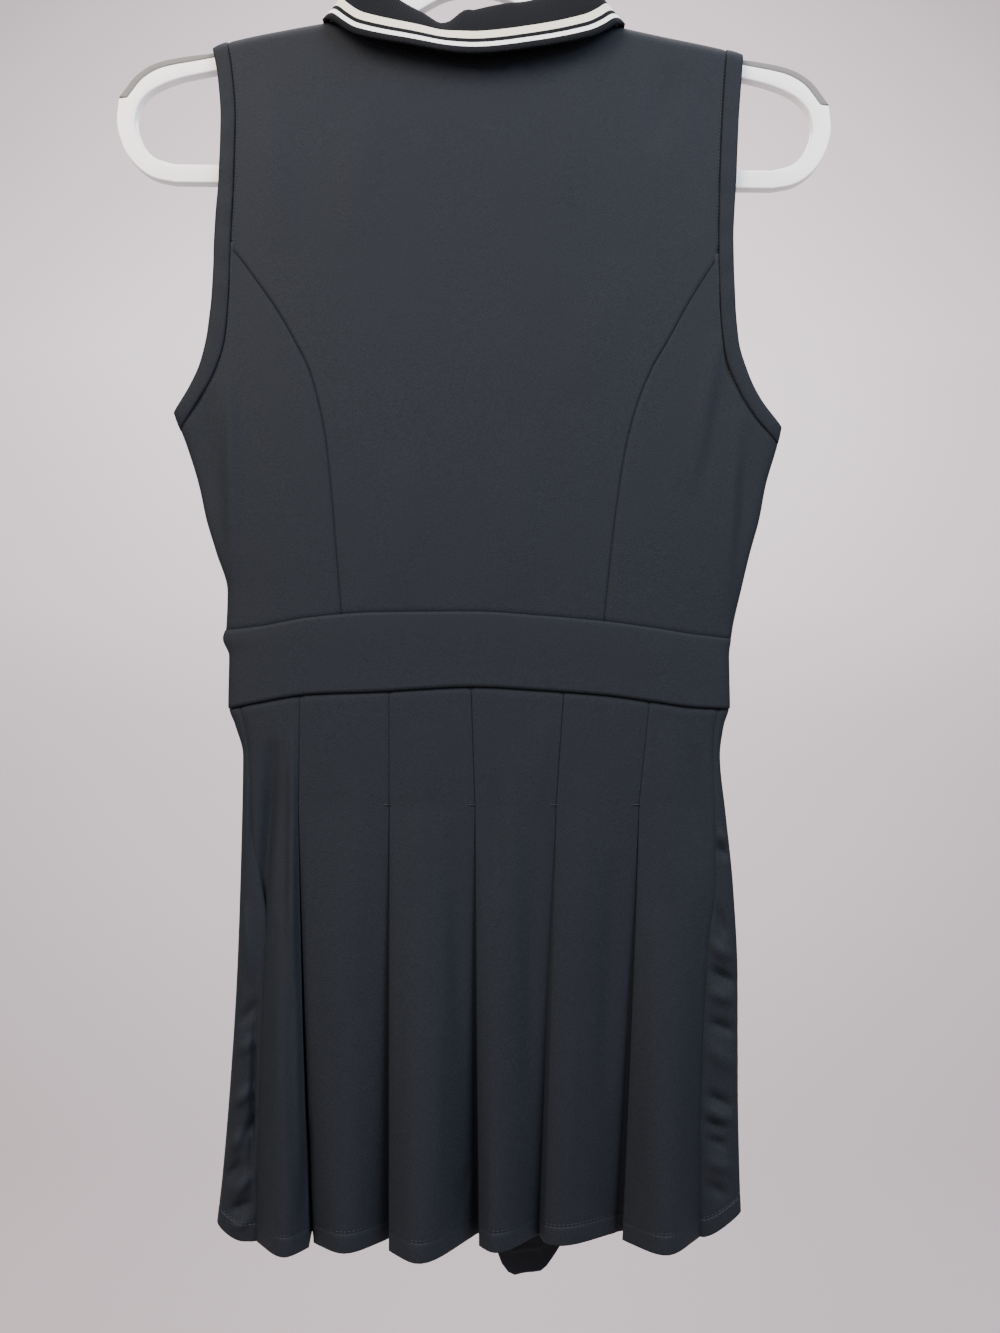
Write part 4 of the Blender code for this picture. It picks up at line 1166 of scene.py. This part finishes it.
hem_rows = []
for height in (10.6, 12.4):
    for k in range(6):
        panel = np.where(back_stations[:, 0] == k)[0]
        hem_rows.append(skirt_row(back_skirt, panel, height))
    hem_rows.append(skirt_row(front_skirt, range(1, STRIP_STEPS - 1), height))
    hem_rows.append(skirt_row(front_skirt, range(FRONT_COUNT - STRIP_STEPS + 1, FRONT_COUNT - 1), height))
    for k in range(6):
        panel = np.where(front_stations[:, 0] == k)[0] + FIRST_FRONT
        hem_rows.append(skirt_row(front_skirt, panel, height))
stitches("hem_coverstitch", hem_rows, 1.8, 0.8, 0.19, THREAD)

pleat_rows, tack_rows = [], []
for k in range(5):
    for pleats, facing in ((BACK_PLEATS, -1), (FRONT_PLEATS, 1)):
        z = np.linspace(-516, TACK_Z - 1, 60)
        x = pleat_x(pleats, k, z)
        z = z + waist_low(x) + 516
        z = np.where(z < TACK_Z, TACK_Z, z)
        y = facing * (flat_depth(x, z) - 0.35)
        pleat_rows.append(np.stack([x, y, z], axis=1))
        tack_x = pleats["tack"][k] + np.array([-5.5, -2.5, 1.2])
        tack_z = TACK_Z + np.array([-0.3, 0.2, 0.0])
        tack_rows.append(np.stack([tack_x, facing * (flat_depth(tack_x, tack_z) + 0.5), tack_z], axis=1))
stitches("pleat_topstitch", pleat_rows, 1.7, 0.7, 0.24, DARK_THREAD)
stitches("bar_tacks", tack_rows, 6.2, 0.3, 0.42, DARK_THREAD)

# %% [markdown]
# ## The cut of each sheet
#
# Each cloth piece is listed with the cut of what is modelled: its width and length laid flat,
# followed along its own surface at its widest and longest. A tapered piece is cut from that
# rectangle, and its area is what is left of it; the script prints each piece's modelled area beside it.

def flat_area(piece):
    """Area of one face of a thin closed sheet, in square metres."""
    return sum(face.area for face in piece.data.polygons) / 2


SHEETS = (
    (bodice_back, 0.322, 0.377, 0.0880, ["hanger_loop", "grip_pad_left", "grip_pad_right"]),
    (side_left, 0.102, 0.242, 0.0160, ["back_center_panel"]),
    (side_right, 0.110, 0.242, 0.0167, ["back_center_panel"]),
    (bodice_front, 0.374, 0.390, 0.1115, ["hanger_loop", "grip_pad_left", "grip_pad_right"]),
    (binding_left, 0.0120, 0.465, 0.0055, ["grip_pad_left"]),
    (binding_right, 0.0120, 0.481, 0.0057, ["grip_pad_right"]),
    (band_back, 0.320, 0.061, 0.0154, ["back_center_panel"]),
    (band_front, 0.320, 0.061, 0.0154, ["front_panel"]),
    (skirt_back, 0.466, 0.341, 0.1205, ["back_waistband"]),
    (skirt_front, 0.560, 0.383, 0.1410, ["front_waistband"]),
    (collar, 0.458, 0.064, 0.0250, ["back_center_panel", "front_panel"]),
)
for piece, width, length, area, rests_on in SHEETS:
    print(piece.name, "measures", round(flat_area(piece), 4), "of", area, "m2 cut")

# %% [markdown]
# ## Floor, backdrop and light
#
# A pale sheet of board sweeps from the floor up behind the dress; its colour is painted darker
# towards the top and the bottom, a painted shade. A large warm light stands left of the camera and
# a cooler one right of it, as two windows would.

# %% Stage
def backdrop():
    bpy.ops.mesh.primitive_grid_add(x_subdivisions=2, y_subdivisions=60, size=2)
    sweep = bpy.context.object
    sweep.name = "backdrop"
    radius, floor_z, wall_y = 0.7, -1.35, 1.9
    for vertex in sweep.data.vertices:
        run = (vertex.co.y + 1) * 4.0
        flat = wall_y - radius + 3.0
        if run < flat:
            y, z = -3.0 + run, floor_z
        elif run < flat + radius * math.pi / 2:
            angle = (run - flat) / radius
            y, z = wall_y - radius + radius * math.sin(angle), floor_z + radius * (1 - math.cos(angle))
        else:
            y, z = wall_y, floor_z + radius + run - flat - radius * math.pi / 2
        vertex.co = (vertex.co.x * 6.0, y, z)
    made, tree, shader = new_material("pale backdrop board with painted shade", Roughness=0.9)
    place = add_node(tree, "ShaderNodeTexCoord")
    parts = add_node(tree, "ShaderNodeSeparateXYZ", {"Vector": place.outputs["Object"]})
    # Painted shade: the board's colour darkens towards the top and the bottom, where less light falls.
    painted_shade_top = add_node(tree, "ShaderNodeMapRange", {
        "Value": parts.outputs["Z"], "From Min": 1.15, "From Max": 0.25})
    lower = add_node(tree, "ShaderNodeMapRange", {
        "Value": parts.outputs["Z"], "From Min": -1.4, "From Max": -0.35})
    both = add_node(tree, "ShaderNodeMath", {
        0: painted_shade_top.outputs["Result"], 1: lower.outputs["Result"]}, operation="MULTIPLY")
    shade = add_node(tree, "ShaderNodeMix", {
        "Factor": both.outputs["Value"], "A": linear("#ada5a7"), "B": linear("#ece4e7")}, data_type="RGBA")
    tree.links.new(shade.outputs["Result"], shader.inputs["Base Color"])
    sweep.data.materials.append(made)
    bpy.ops.object.shade_smooth()
    sweep.select_set(False)


def softbox(name, place, aim, size, power, colour):
    bpy.ops.object.light_add(type="AREA", location=place)
    lamp = bpy.context.object
    lamp.name = name
    lamp.data.shape = "SQUARE"
    lamp.data.size = size
    lamp.data.energy = power
    lamp.data.color = linear(colour)[:3]
    direction = [a - p for a, p in zip(aim, place)]
    lamp.rotation_euler = Vector(direction).to_track_quat("-Z", "Y").to_euler()


backdrop()
DRESS_MIDDLE = (0.0, 0.0, -0.48)
BODICE_MIDDLE = (0.0, 0.0, -0.25)
WALL_MIDDLE = (0.0, 1.9, -0.4)
softbox("warm key", (-0.72, -0.9, 0.42), BODICE_MIDDLE, 0.8, 33, "#fff2e4")
softbox("cool fill", (0.8, -0.85, 0.42), BODICE_MIDDLE, 0.9, 30, "#e2ecff")
softbox("back light", (0.3, 1.3, 0.9), DRESS_MIDDLE, 1.0, 20, "#ffffff")
softbox("wall wash", (0.0, 0.5, 1.5), WALL_MIDDLE, 1.6, 72, "#fff6f8")
world = bpy.data.worlds.new("studio")
world.use_nodes = True
world.node_tree.nodes["Background"].inputs["Color"].default_value = linear("#e9e7ea")
world.node_tree.nodes["Background"].inputs["Strength"].default_value = 0.5
bpy.context.scene.world = world
